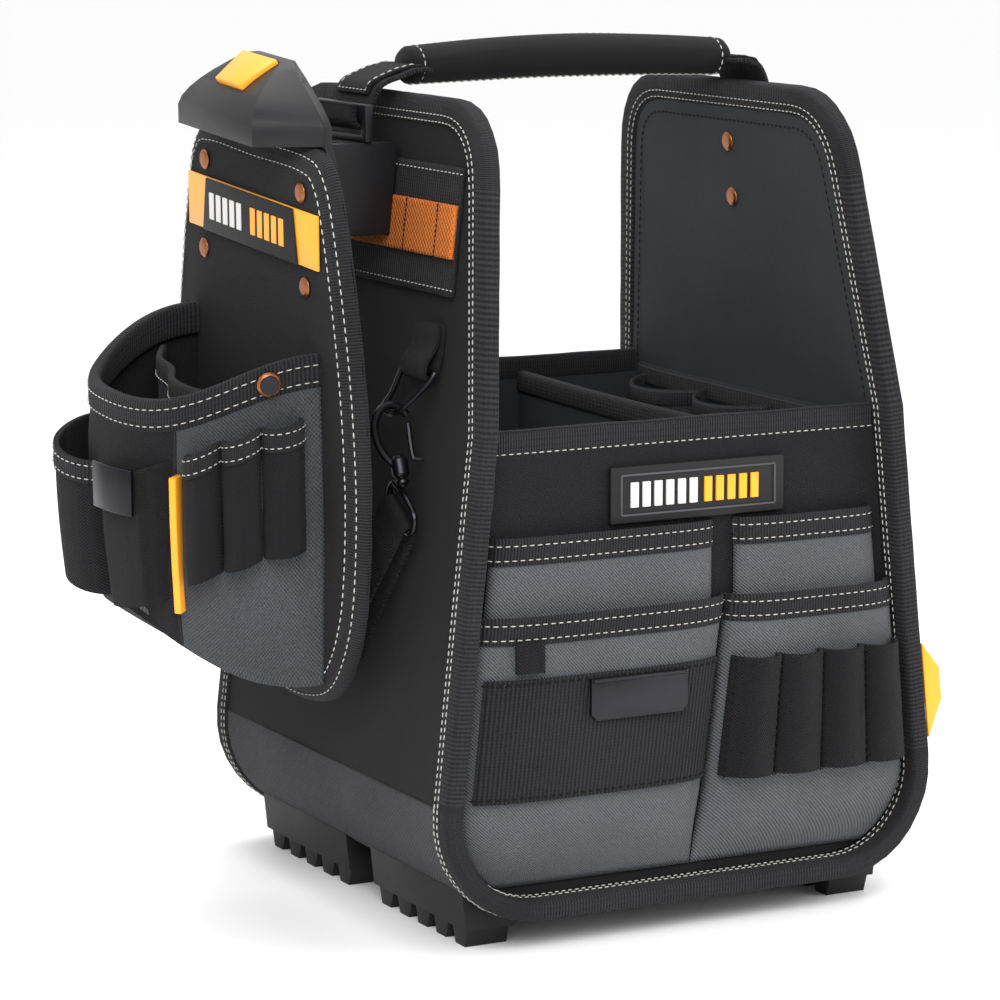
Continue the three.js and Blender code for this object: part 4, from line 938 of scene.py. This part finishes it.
def wall_pocket(node, side, stand_off):
    def place(u, v):
        edge = 1 - (2 * u - 1) ** 6
        stand = 0.3 * MM + stand_off * v * edge
        y = POCKET_HALF * (2 * u - 1)
        climb = pocket_low + (pocket_high - pocket_low) * v
        slack = abs(ripple(Vector((side, y, climb)), 20, 1.4 * MM)) * min(1.0, 3 * v) * edge
        return on_wall(side, WALL + stand + CLOTH + (slack if stand_off > 10 * MM else 0), y, climb)
    pocket = laid_grid(node + "_cloth", 44, 36, place, lining_fabric, (219, 166))
    if side < 0:
        pocket.data.flip_normals()
    wall = pocket.modifiers.new("thickness", "SOLIDIFY")
    wall.thickness = CLOTH - 0.3 * MM
    wall.offset = -1
    stands_for(pocket, node)

    def hem_place(u, v):
        turn = v * 2 * math.pi
        point = place(u, 1)
        inwards = (on_wall(side, 1, 0, 0) - on_wall(side, 0, 0, 0)).normalized()
        deep = 1.7 * MM * squared(math.cos(turn), 0.6)
        tall = 5.5 * MM * squared(math.sin(turn), 0.6)
        return point + inwards * (deep - 0.4 * MM) + Vector((0, 0, tall - 4.5 * MM))
    hem = laid_grid(node + "_hem", 60, 16, hem_place, tape_fabric, (219, 26), closed_v=True)
    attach(hem, "tote")


wall_pocket("left_inner_pocket", -1, 26 * MM)
wall_pocket("right_inner_pocket", 1, 3 * MM)

SLEEVES = 3


def sleeve_place(u, v):
    reach = 20 * MM * abs(math.sin(math.pi * SLEEVES * u)) ** 0.6
    y = (2 * u - 1) * (POCKET_HALF - 12 * MM)
    climb = pocket_high - 64 * MM + 60 * MM * v
    return on_wall(1, WALL + 3 * MM + CLOTH + 0.6 * MM + CLOTH + reach, y, climb)


sleeves = laid_grid("tool_sleeves_cloth", 120, 16, sleeve_place, lining_fabric, (280, 60))
wall = sleeves.modifiers.new("thickness", "SOLIDIFY")
wall.thickness = CLOTH - 0.3 * MM
wall.offset = -1
stands_for(sleeves, "tool_sleeves")


def sleeve_hem(u, v):
    turn = v * 2 * math.pi
    point = sleeve_place(u, 1)
    beside = sleeve_place(min(1, u + 0.002), 1) - sleeve_place(max(0, u - 0.002), 1)
    across = beside.cross(Vector((0, 0, 1))).normalized()
    deep = 1.3 * MM * math.cos(turn)
    tall = 4.5 * MM * squared(math.sin(turn), 0.6)
    return point + across * deep + Vector((0, 0, tall - 3.8 * MM))


hem = laid_grid("tool_sleeves_hem", 120, 12, sleeve_hem, tape_fabric, (280, 24), closed_v=True)
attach(hem, "tote")

# The stitched row just inside the binding on both linings.
lining_seams = []
for side in (1, -1):
    inner = wall_outline(TAPE + 6 * MM, wall_bottom + 20 * MM)
    inwards = (on_wall(side, 1, 0, 0) - on_wall(side, 0, 0, 0)).normalized()
    lining_seams.append([(on_wall(side, WALL + 0.8 * MM, p.x, p.y), inwards) for p in inner])
stitches("lining_stitches", lining_seams, "tote", material=thread_black, width=1.0 * MM)

# ---------------------------------------------------------------- handle
# A foam tube in smooth black knit, sewn shut along its top, with its cover running on as a flap
# over the 44 mm webbing at each end. The webbing is riveted to the right wall.
GRIP_HALF = 91 * MM
GRIP_HEIGHT = 408 * MM
GRIP_WIDE, GRIP_THICK, GRIP_RISE = 27 * MM, 21 * MM, 3 * MM


def grip_spot(u, v):
    """Round the grip (v) and along it (u), drawn in over its last few millimetres."""
    x = GRIP_HALF * (2 * u - 1)
    arch = math.sin(math.pi * u)
    end = min(1.0, (GRIP_HALF - abs(x)) / (5 * MM))
    belly = (0.86 + 0.13 * arch) * math.sqrt(max(0.02, 1 - (1 - end) ** 2) if end < 1 else 1)
    turn = 2 * math.pi * v
    bulk = belly * (1 + ripple((x, v, 0.4), 20, 0.02))
    y = bulk * GRIP_WIDE / 2 * math.cos(turn)
    z = GRIP_HEIGHT + GRIP_RISE * arch + bulk * GRIP_THICK / 2 * math.sin(turn)
    return in_tote(x, y, z)


grip = laid_grid("handle_grip_cover", 90, 40, grip_spot, neoprene, (182, 76), closed_v=True)
bm = bmesh.new()
bm.from_mesh(grip.data)
bmesh.ops.holes_fill(bm, edges=[e for e in bm.edges if e.is_boundary], sides=60)
bmesh.ops.recalc_face_normals(bm, faces=bm.faces)
bm.to_mesh(grip.data)
bm.free()
stands_for(grip, "handle_grip")


def grip_seam(spots):
    """Places on the grip with the way that its skin faces there."""
    seam = []
    for spot in spots:
        middle = in_tote((spot - tote_shift).x, 0, GRIP_HEIGHT)
        seam.append((spot, (spot - middle).normalized()))
    return seam


grip_rows = [grip_seam(grip_spot(0.03 + 0.94 * i / 80, turn) for i in range(81))
             for turn in (0.695, 0.735, 0.20)]
grip_rows += [grip_seam(grip_spot(along, i / 40) for i in range(41)) for along in (0.045, 0.955)]
stitches("handle_grip_stitches", grip_rows, "tote")


def smooth_between(p0, p1, p2, p3, t):
    """A Catmull-Rom curve from p1 (t 0) to p2 (t 1)."""
    return 0.5 * (2 * p1 + (p2 - p0) * t + (2 * p0 - 5 * p1 + 4 * p2 - p3) * t ** 2
                  + (3 * p1 - p0 - 3 * p2 + p3) * t ** 3)


def ribbon(name, path, width, material, thickness, steps=60):
    """Webbing along a path of (x, z) points, its width across the tote, drawn to a smooth run."""
    points = [Vector((x * MM, 0, z * MM)) for x, z in path]
    lengths = [0.0]
    for a, b in zip(points, points[1:]):
        lengths.append(lengths[-1] + (b - a).length)

    def along(share):
        # A Catmull-Rom curve through the points, walked by length.
        goal = share * lengths[-1]
        i = max(j for j in range(len(lengths) - 1) if lengths[j] <= goal + 1e-9)
        t = (goal - lengths[i]) / (lengths[i + 1] - lengths[i])
        p0 = points[max(i - 1, 0)]
        p1, p2 = points[i], points[i + 1]
        p3 = points[min(i + 2, len(points) - 1)]
        return smooth_between(p0, p1, p2, p3, t)

    def place(u, v):
        p = along(u)
        return in_tote(p.x, width * (v - 0.5), p.z)

    piece = laid_grid(name, steps, 10, place, material, (lengths[-1] / MM, width / MM),
                      thickness=thickness)
    piece.modifiers["thickness"].offset = 0
    return piece, place


def wall_x(z, lift):
    """A side wall's outer face, `lift` outside it, in millimetres."""
    return outer_half(z * MM) / MM + lift / math.cos(LEAN)


right_path = [
    (84, 407), (91.8, 407), (95, 405.5), (wall_x(397, 1.5), 403.6), (wall_x(393, 5.1), 394),
    (wall_x(383, 3.1), 381), (wall_x(370, 1.6), 370), (wall_x(348, 1.6), 348), (wall_x(324, 1.6), 324),
]
left_path = [
    (-84, 407), (-91.8, 407), (-95, 406), (-wall_x(397, 1.5), 404.6), (-111, 400), (-116.4, 389),
    (-117.4, 382.4), (-121, 380.4), (-125, 384), (-125.4, 392),
]
right_web, _ = ribbon("handle_webbing_right_cloth", right_path, 44 * MM, webbing_fabric, 2 * MM)
stands_for(right_web, "handle_webbing_right")
left_web, _ = ribbon("handle_webbing_left_cloth", left_path, 44 * MM, webbing_fabric, 2 * MM, steps=80)
stands_for(left_web, "handle_webbing_left")
for side, name in ((1, "right"), (-1, "left")):
    flap_path = [(side * 86, 408.5), (side * 92, 408.6), (side * 96, 407.6)]
    if side > 0:
        flap_path += [(wall_x(397, 1.5) + 0.8, 406), (wall_x(393, 7.6), 394.5)]
    else:
        flap_path += [(-wall_x(397, 1.5) - 0.8, 406.8), (-112.6, 401.6), (-116, 396)]
    flap, flap_place = ribbon(f"handle_flap_{name}", flap_path, 34 * MM, neoprene, 1.4 * MM, steps=24)
    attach(flap, "tote")
    rows = []
    upwards = Vector((0.3 * side, 0, 1)).normalized()
    slanted = Vector((side, 0, 0.5)).normalized()
    for v in (0.08, 0.92):
        rows.append([(flap_place(0.15 + 0.83 * i / 20, v) + upwards * 0.8 * MM, upwards) for i in range(21)])
    rows.append([(flap_place(0.93, 0.08 + 0.84 * i / 20) + slanted * 0.8 * MM, slanted) for i in range(21)])
    stitches(f"handle_flap_{name}_stitches", rows, "tote")

# ---------------------------------------------------------------- bands on the left wall
# A wide band of ribbed webbing lies across the wall's top with a band of coarse orange webbing
# sewn over its middle; both are tacked down and riveted under the receiver.
orange_fabric = cloth("orange_webbing_weave", "6e2404", "ff9138", "basket", 3.0, depth=0.0006)
BAND_MIDDLE = up(336 * MM)
BAND_REACH = 91 * MM


def wall_band(half_height, lift):
    def place(u, v):
        y = BAND_REACH * (2 * u - 1)
        climb = BAND_MIDDLE + half_height * (2 * v - 1)
        return on_wall(-1, -lift - abs(ripple((0, y, climb), 40, 0.25 * MM)), y, climb)
    return place


wide_place = wall_band(30 * MM, 2.3 * MM)
wide = laid_grid("wide_wall_band_cloth", 60, 24, wide_place, webbing_upright, (184, 60), thickness=2 * MM)
wide.data.flip_normals()
wide.modifiers["thickness"].offset = -1
stands_for(wide, "wide_wall_band")
orange_place = wall_band(12.5 * MM, 4.6 * MM)
orange = laid_grid("orange_wall_band_cloth", 60, 14, orange_place, orange_fabric, (184, 25), thickness=2 * MM)
orange.data.flip_normals()
stands_for(orange, "orange_wall_band")
outwards = (on_wall(-1, -1, 0, 0) - on_wall(-1, 0, 0, 0)).normalized()
tacks = []
for u in (0.09, 0.27, 0.73, 0.91):
    tacks.append([(orange_place(u, i / 12) + outwards * 0.3 * MM, outwards) for i in range(13)])
stitches("orange_band_tacks", tacks, "tote", material=thread_black, pitch=2.4 * MM,
         length=2.2 * MM)
band_rows = []
for v in (0.05, 0.95):
    band_rows.append([(wide_place(i / 60, v) + outwards * 0.3 * MM, outwards) for i in range(61)])
stitches("wide_band_stitches", band_rows, "tote", length=2.6 * MM)

# ---------------------------------------------------------------- receiver, yoke and hanging ring
# The receiver is a moulded block with an upright slot for the pouch's tongue; over it a slotted
# bar takes the handle's webbing. A webbing hanger holds a bent wire ring for the snap hook.
eased("hub_receiver", black_moulding, 0.7 * MM)
eased("webbing_yoke", black_moulding, 0.5 * MM)
eased("hanger_loop", webbing_fabric, 0.2 * MM)
for node, finish, ease in (
    ("triangle_ring", black_plating, 0.05 * MM), ("snap_hook", black_plating, 0.25 * MM),
    ("hook_gate", black_plating, 0.1 * MM), ("swivel_ring", black_plating, 0.05 * MM),
):
    part = eased(node, finish, ease)
    smooth = part.modifiers.new("smooth", "SUBSURF")
    smooth.levels = smooth.render_levels = 1

STRAP_LEAN = math.radians(33)
strap_turn = Matrix.Translation(in_tote(-130 * MM, -84 * MM, 213 * MM)) @ Matrix.Rotation(STRAP_LEAN, 4, "X")
BAR_Z = -11.9
BAR_WRAP = 3.3  # the strap's middle, from the middle of the bar that it goes over
strap_loop = [(BAR_WRAP * math.cos(math.radians(a)), BAR_Z + BAR_WRAP * math.sin(math.radians(a)))
              for a in (0, 45, 90, 135, 180)]
strap_loop += [(-4, BAR_Z - 8), (-8, -45), (-11, -72), (-10.5, -89), (-7, -96), (-3.4, -90), (-3, -72),
               (0.6, -45), (3.4, BAR_Z - 8)]


def strap_place(u, v):
    """Round the strap's loop (u) and across its width (v)."""
    count = len(strap_loop)
    row = u * count
    i = int(row) % count
    t = row - int(row)
    p0, p1, p2, p3 = (Vector(strap_loop[(i + k) % count]) for k in (-1, 0, 1, 2))
    p = smooth_between(p0, p1, p2, p3, t)
    return strap_turn @ (Vector((p.x, 24 * (v - 0.5), p.y)) * MM)


strap = laid_grid("tether_strap_cloth", 120, 12, strap_place, webbing_fabric, (200, 24),
                  thickness=1.7 * MM, closed_u=True)
strap.modifiers["thickness"].offset = 0
stands_for(strap, "tether_strap")

# ---------------------------------------------------------------- pouch panel
# A stiff board in black weave with a wide ribbed binding, hung from its hub. Its sizes are the
# CAD part's, in the pouch's own frame: across, outwards and up.
POUCH_HANG = 250 * MM
pouch_turn = (
    Matrix.Translation(in_tote(-147.8 * MM, 0, 119 * MM)) @ Matrix.Rotation(math.radians(90), 4, "Z")
    @ Matrix.Rotation(math.radians(-2.5), 4, "X") @ Matrix.Translation((0, 0, POUCH_HANG))
    @ Matrix.Rotation(math.radians(-4), 4, "Y") @ Matrix.Translation((0, 0, -POUCH_HANG))
)


def on_pouch(x, y, z):
    return pouch_turn @ (Vector((x, y, z)) * MM)


def pouch_way(x, y, z):
    return (pouch_turn.to_3x3() @ Vector((x, y, z))).normalized()


half_outline = [(42, -10), (74, 2), (97, 36), (106, 88), (105, 132),
                (99, 175), (86, 228), (79, 246), (68, 257), (54, 260)]
outline_knots = [(0, -12)] + half_outline + [(0, 260)] + [(-x, z) for x, z in reversed(half_outline)]


def rounded_outline(points):
    """A closed centripetal curve through the points."""
    steps = 16
    dense = []
    for i in range(len(points)):
        p = [Vector(points[(i + k) % len(points)]) for k in (-1, 0, 1, 2)]
        knots = [0.0]
        for a, b in zip(p, p[1:]):
            knots.append(knots[-1] + (b - a).length ** 0.5)
        for step in range(steps):
            t = knots[1] + (knots[2] - knots[1]) * step / steps
            first = [p[k].lerp(p[k + 1], (t - knots[k]) / (knots[k + 1] - knots[k])) for k in range(3)]
            second = [first[k].lerp(first[k + 1], (t - knots[k]) / (knots[k + 2] - knots[k]))
                      for k in range(2)]
            dense.append(second[0].lerp(second[1], (t - knots[1]) / (knots[2] - knots[1])))
    return dense


outline_dense = rounded_outline(outline_knots)
outline_run = [0.0]
for before, after in zip(outline_dense, outline_dense[1:] + outline_dense[:1]):
    outline_run.append(outline_run[-1] + (after - before).length)


def pouch_edge(t, inset):
    """A point on the panel's edge, moved inwards."""
    goal = (t % 1.0) * outline_run[-1]
    low, high = 0, len(outline_run) - 1
    while high - low > 1:
        middle = (low + high) // 2
        low, high = (middle, high) if outline_run[middle] <= goal else (low, middle)
    a, b = outline_dense[low], outline_dense[(low + 1) % len(outline_dense)]
    along = (b - a).normalized()
    p = a.lerp(b, (goal - outline_run[low]) / (outline_run[low + 1] - outline_run[low]))
    return p + Vector((-along.y, along.x)) * inset


def pouch_face(y, puff):
    def place(u, v):
        edge = pouch_edge(u, 11.5)
        p = edge.lerp(Vector((0, 125)), v)
        soft = ripple((p.x * MM, y * MM, p.y * MM), 22, 0.9) + puff * min(1.0, 6 * v)
        return on_pouch(p.x, y + soft * min(1.0, 8 * v), p.y)
    return place


pouch_front = laid_grid("pouch_panel_face", 140, 34, pouch_face(9.7, 0.3), black_fabric, (600, 110),
                        closed_u=True)
pouch_back = laid_grid("pouch_panel_back", 140, 34, pouch_face(4.0, -0.2), black_fabric, (600, 110),
                       closed_u=True)
for sheet in (pouch_front, pouch_back):
    map_by_side(sheet)
stands_for(pouch_front, "pouch_panel")
stands_for(pouch_back, body="pouch", slot="black_fabric")
EDGE_TAPE = 13


def pouch_tape(u, v):
    turn = 2 * math.pi * v
    across = squared(math.cos(turn), 0.45)
    deep = squared(math.sin(turn), 0.45)
    share = 0.5 + 0.5 * across
    edge = pouch_edge(u, EDGE_TAPE * (1 - share))
    y = 9.7 - 5.7 * share ** 2 - 2 + 2.2 * deep
    return on_pouch(edge.x, y + ripple((edge.x * MM, v, edge.y * MM), 70, 0.5), edge.y)


pouch_binding = laid_grid("pouch_binding_tape", 300, 18, pouch_tape, tape_fabric, (outline_run[-1], 32),
                          closed_u=True, closed_v=True)
stands_for(pouch_binding, "pouch_binding")
edge_rows = []
for inset in (3.8, 10.2):
    for face in (1, -1):
        row = []
        for i in range(301):
            edge = pouch_edge(i / 300, inset)
            share = 1 - inset / EDGE_TAPE
            y = 9.7 - 5.7 * share ** 2 - 2 + 2.25 * face
            row.append((on_pouch(edge.x, y, edge.y), pouch_way(0, face, 0)))
        edge_rows.append(row)
stitches("pouch_binding_stitches", edge_rows, "pouch", pitch=4.4 * MM, length=3.0 * MM)

# ---------------------------------------------------------------- bag
# Two cloths sewn together down the front: black weave on one side and coarse grey weave on the
# other, bellied out and drawn in underneath, with a taped rim and a slack inner wall.
bag_fabric = cloth("grey_coarse_weave", "202225", "5c5f63", "basket", 1.9, depth=0.0004)
rib_fabric = cloth("grey_ribbed_cloth", "2c2d2f", "77787a", "rib", 2.2, depth=0.0004)
BAG_BACK = 10.0


def power(value):
    return math.copysign(abs(value) ** (2 / 2.3), value)


def rim_height(angle):
    return 144 + 22 * math.cos(angle) ** 4


def foot_height(angle):
    return 8 + 34 * math.sin(angle) ** 2


def bag_point(angle, v, lift):
    belly = 1 + 0.035 * math.sin(math.pi * v) - 0.03 * v
    x = (70 * belly + lift) * power(math.cos(angle))
    y = BAG_BACK + (76 * belly + lift) * power(max(0.0, math.sin(angle)))
    return x, y, rim_height(angle) + (foot_height(angle) - rim_height(angle)) * v


def bag_way(angle):
    return pouch_way(math.cos(angle) / 70, math.sin(angle) / 76, 0)


def bag_cloth(start, end, lift):
    def place(u, v):
        angle = math.radians(start + (end - start) * u)
        if v <= 0.7:
            x, y, z = bag_point(angle, v / 0.7, lift)
            seam = min(1.0, 10 * v, 6 * math.sin(angle) + 0.1)
            soft = ripple((x * MM, y * MM, z * MM), 26, 2.4) * seam
            return on_pouch(x + soft * math.cos(angle), y + soft * math.sin(angle), z)
        x, y, z = bag_point(angle, 1, lift)
        draw = max(0.0, math.cos((v - 0.7) / 0.3 * math.pi / 2))
        return on_pouch(x * draw, BAG_BACK + (y - BAG_BACK) * draw, -6 + (z + 6) * draw ** 1.3)
    return place


SEAM_ANGLE = 128
bag_black = laid_grid("pouch_bag_black_side", 60, 60, bag_cloth(0, SEAM_ANGLE, 0), black_fabric,
                      (150, 190), thickness=2 * MM)
bag_grey = laid_grid("pouch_bag_grey_side", 60, 60, bag_cloth(SEAM_ANGLE, 180, 0), bag_fabric,
                     (85, 190), thickness=2 * MM)
stands_for(bag_black, "pouch_bag")
stands_for(bag_grey, body="pouch", slot="bag_fabric")
for cloth_side in (bag_black, bag_grey):
    cloth_side.modifiers["thickness"].offset = -1


def bag_foot_wrap(u, v):
    # The ribbed grey cloth that wraps up from under the black side.
    angle = math.radians(2 + (SEAM_ANGLE - 3) * u)
    reach = 0.10 * math.sin(math.pi * u) + 0.13
    if v <= 0.5:
        x, y, z = bag_point(angle, 1 - reach * (1 - v / 0.5), 0.7)
        return on_pouch(x, y, z)
    x, y, z = bag_point(angle, 1, 0.7)
    draw = max(0.0, math.cos((v - 0.5) / 0.5 * math.pi / 2))
    return on_pouch(x * draw, BAG_BACK + (y - BAG_BACK) * draw, -6.6 + (z + 6.6) * draw ** 1.3)


foot_wrap = laid_grid("pouch_bag_foot_wrap", 60, 30, bag_foot_wrap, rib_fabric, (130, 90), thickness=0.6 * MM)
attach(foot_wrap, "pouch")
seam_line = laid_grid("pouch_bag_seam_piping", 4, 60,
                      lambda u, v: bag_cloth(SEAM_ANGLE - 0.8 + 1.6 * u, SEAM_ANGLE, 0.9)(0, v),
                      tape_fabric, (3, 170), thickness=1.2 * MM)
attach(seam_line, "pouch")


def rim_tape(u, v):
    angle = math.pi * u
    turn = 2 * math.pi * v
    lift = 0.4 + 3.2 * squared(math.cos(turn), 0.45)
    x, y, z = bag_point(angle, 0, lift)
    rise = -7 + 8 * squared(math.sin(turn), 0.5)
    return on_pouch(x, y, z + rise)


rim = laid_grid("rim_binding_tape", 110, 22, rim_tape, tape_fabric, (210, 40), closed_v=True)
stands_for(rim, "rim_binding")
rim_rows = []
for drop in (3.6, 11.6):
    row = []
    for i in range(121):
        angle = math.pi * i / 120
        x, y, z = bag_point(angle, 0, 3.8)
        row.append((on_pouch(x, y, z - drop), bag_way(angle)))
    rim_rows.append(row)
stitches("rim_binding_stitches", rim_rows, "pouch", pitch=4.4 * MM, length=3.0 * MM)

wall_path = [Vector(p) for p in ((64.6, 31), (36, 45), (10, 50), (-16, 60), (-42, 58), (-61, 45))]


def along_wall(u):
    row = u * (len(wall_path) - 1)
    i = min(len(wall_path) - 2, int(row))
    t = row - i
    p0, p1, p2, p3 = (wall_path[min(max(i + k, 0), len(wall_path) - 1)] for k in (-1, 0, 1, 2))
    return smooth_between(p0, p1, p2, p3, t)


def wall_sheet(u, v):
    p = along_wall(u)
    return on_pouch(p.x, p.y, 48 + (100 + 6 * u * (1 - u)) * v)


inner_wall = laid_grid("bag_divider_cloth", 50, 20, wall_sheet, lining_fabric, (140, 100), thickness=2 * MM)
inner_wall.modifiers["thickness"].offset = 0
stands_for(inner_wall, "bag_divider")


def wall_hem(u, v):
    turn = 2 * math.pi * v
    p, q = along_wall(u), along_wall(min(1.0, u + 0.01))
    normal = Vector((p.y - q.y, q.x - p.x))
    normal = normal.normalized() if normal.length else Vector((0, 1))
    p = p + normal * 1.9 * squared(math.cos(turn), 0.5)
    return on_pouch(p.x, p.y, 148 - 5 + 6 * u * (1 - u) + 5.5 * squared(math.sin(turn), 0.5))


inner_hem = laid_grid("bag_divider_hem", 50, 14, wall_hem, tape_fabric, (140, 24), closed_v=True)
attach(inner_hem, "pouch")
hem_row = []
for i in range(61):
    p = along_wall(i / 60)
    hem_row.append((on_pouch(p.x, p.y + 2.0, 140.5), pouch_way(0, 1, 0)))
stitches("bag_divider_stitches", [hem_row], "pouch")

# ---------------------------------------------------------------- bag webbing
# Herringbone webbing is sewn down between its loops: three slim loops on the grey side, and one
# deep loop with a flat sleeve on the black side. Taped hems close their mouths.


def bag_band(start, end, height, bulge, extra=0.0, from_v=0.0):
    def place(u, v):
        v = from_v + (1 - from_v) * v
        angle = math.radians(start + (end - start) * u)
        z = 108 + 30 * math.cos(angle) ** 2 - height * (1 - v)
        share = (rim_height(angle) - z) / (rim_height(angle) - foot_height(angle))
        return on_pouch(*bag_point(angle, min(1.0, share), 1.3 + extra + bulge(u)))
    return place


def three_loops(u):
    return 13 * abs(math.sin(3 * math.pi * u)) ** 0.55


LOOP_SHARE = 0.48  # how much of the sleeve band its deep loop takes
BAND_HEM = 11  # how deep the tape at a band's mouth is


def loop_then_sleeve(u):
    if u < LOOP_SHARE:
        return 17 * abs(math.sin(math.pi * u / LOOP_SHARE)) ** 0.55
    return 7.5 * min(1.0, 7 * (u - LOOP_SHARE), 7 * (1 - u))


def looped_webbing(name, node, start, end, height, bulge, steps, hem_end, width):
    band = laid_grid(name, steps, 26, bag_band(start, end, height, bulge), webbing_fabric,
                     (width, height), thickness=1.8 * MM)
    stands_for(band, node)
    hem_share = 1 - BAND_HEM / height
    hem_place = bag_band(start, start + (end - start) * hem_end, height, lambda u: bulge(u * hem_end),
                         0.9, hem_share)
    top = laid_grid(name + "_hem", steps, 6, hem_place, tape_fabric, (width * hem_end, BAND_HEM),
                    thickness=0.7 * MM)
    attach(top, "pouch")
    rows = []
    for v in (0.2, 0.8):
        row = []
        for i in range(steps + 1):
            spot, nearby = hem_place(i / steps, v), hem_place(min(1.0, i / steps + 0.004), v)
            along = (nearby - spot).normalized() if (nearby - spot).length > 1e-9 else pouch_way(1, 0, 0)
            normal = along.cross(pouch_way(0, 0, 1)).normalized()
            angle = math.radians(start + (end - start) * hem_end * i / steps)
            if normal.dot(bag_way(angle)) < 0:
                normal.negate()
            row.append((spot + normal * 0.2 * MM, normal))
        rows.append(row)
    stitches(name + "_stitches", rows, "pouch", pitch=3.8 * MM, length=2.5 * MM)


looped_webbing("pouch_loop_band_cloth", "pouch_loop_band", 133, 175, 62, three_loops, 150, 1.0, 120)
looped_webbing("pouch_sleeve_band_cloth", "pouch_sleeve_band", 48, 126.5, 66, loop_then_sleeve, 130,
               LOOP_SHARE, 150)

# ---------------------------------------------------------------- pouch fittings
# The hub with its hood and button, the coloured badge plate, a clip plate, a soft tag, and
# rivets with a copper rim round a black cap.
eased("hub_body", black_moulding, 0.8 * MM)
eased("release_button", orange_moulding, 0.6 * MM)
eased("badge_plate", orange_moulding, 0.5 * MM)
eased("sleeve_plate", black_plating, 0.4 * MM)
eased("pouch_tag", orange_moulding, 0.7 * MM)
eased("pouch_badge", soft_rubber, 0.5 * MM)
for i in range(4):
    eased(f"hub_rivet_{i + 1}", copper_plating, 0.25 * MM)
for name, angle in (("rim_rivet_front", math.radians(164)), ("rim_rivet_back", math.radians(16))):
    eased(name, copper_plating, 0.2 * MM)
    x, y, z = bag_point(angle, 0, 4.0)
    bm = bmesh.new()
    bmesh.ops.create_cone(bm, segments=32, radius1=4.9 * MM, radius2=4.3 * MM, depth=1.4 * MM, cap_ends=True)
    way = bag_way(angle)
    turned = way.to_track_quat("Z", "Y").to_matrix().to_4x4()
    placed = Matrix.Translation(on_pouch(x, y, z - 7.5) + way * 2.9 * MM)
    bmesh.ops.transform(bm, verts=bm.verts, matrix=placed @ turned)
    cap = linked(name + "_cap", bm, black_plating)
    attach(cap, "pouch")


def raised_bars(name, bars, base_y, material):
    """Plain raised bars on the pouch's badge, given as (x, z, width, height)."""
    bm = bmesh.new()
    for x, z, wide, tall in bars:
        made = bmesh.ops.create_cube(bm, size=1)
        bmesh.ops.scale(bm, verts=made["verts"], vec=(wide * MM, 0.8 * MM, tall * MM))
        bmesh.ops.translate(bm, verts=made["verts"], vec=Vector((x, base_y, z)) * MM)
    bmesh.ops.bevel(bm, geom=bm.edges[:], offset=0.2 * MM, affect="EDGES", segments=1, profile=0.5,
                    material=-1)
    bmesh.ops.transform(bm, verts=bm.verts, matrix=pouch_turn)
    bars_piece = linked(name, bm, material)
    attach(bars_piece, "pouch")


BADGE_FACE = 13.1
raised_bars("pouch_badge_pale_bars", [(42 - 8 * i, 219, 5, 13) for i in range(5)], BADGE_FACE,
            pale_rubber)
raised_bars("pouch_badge_orange_bars", [(-6 - 8 * i, 219, 5, 13) for i in range(5)], BADGE_FACE,
            orange_moulding)
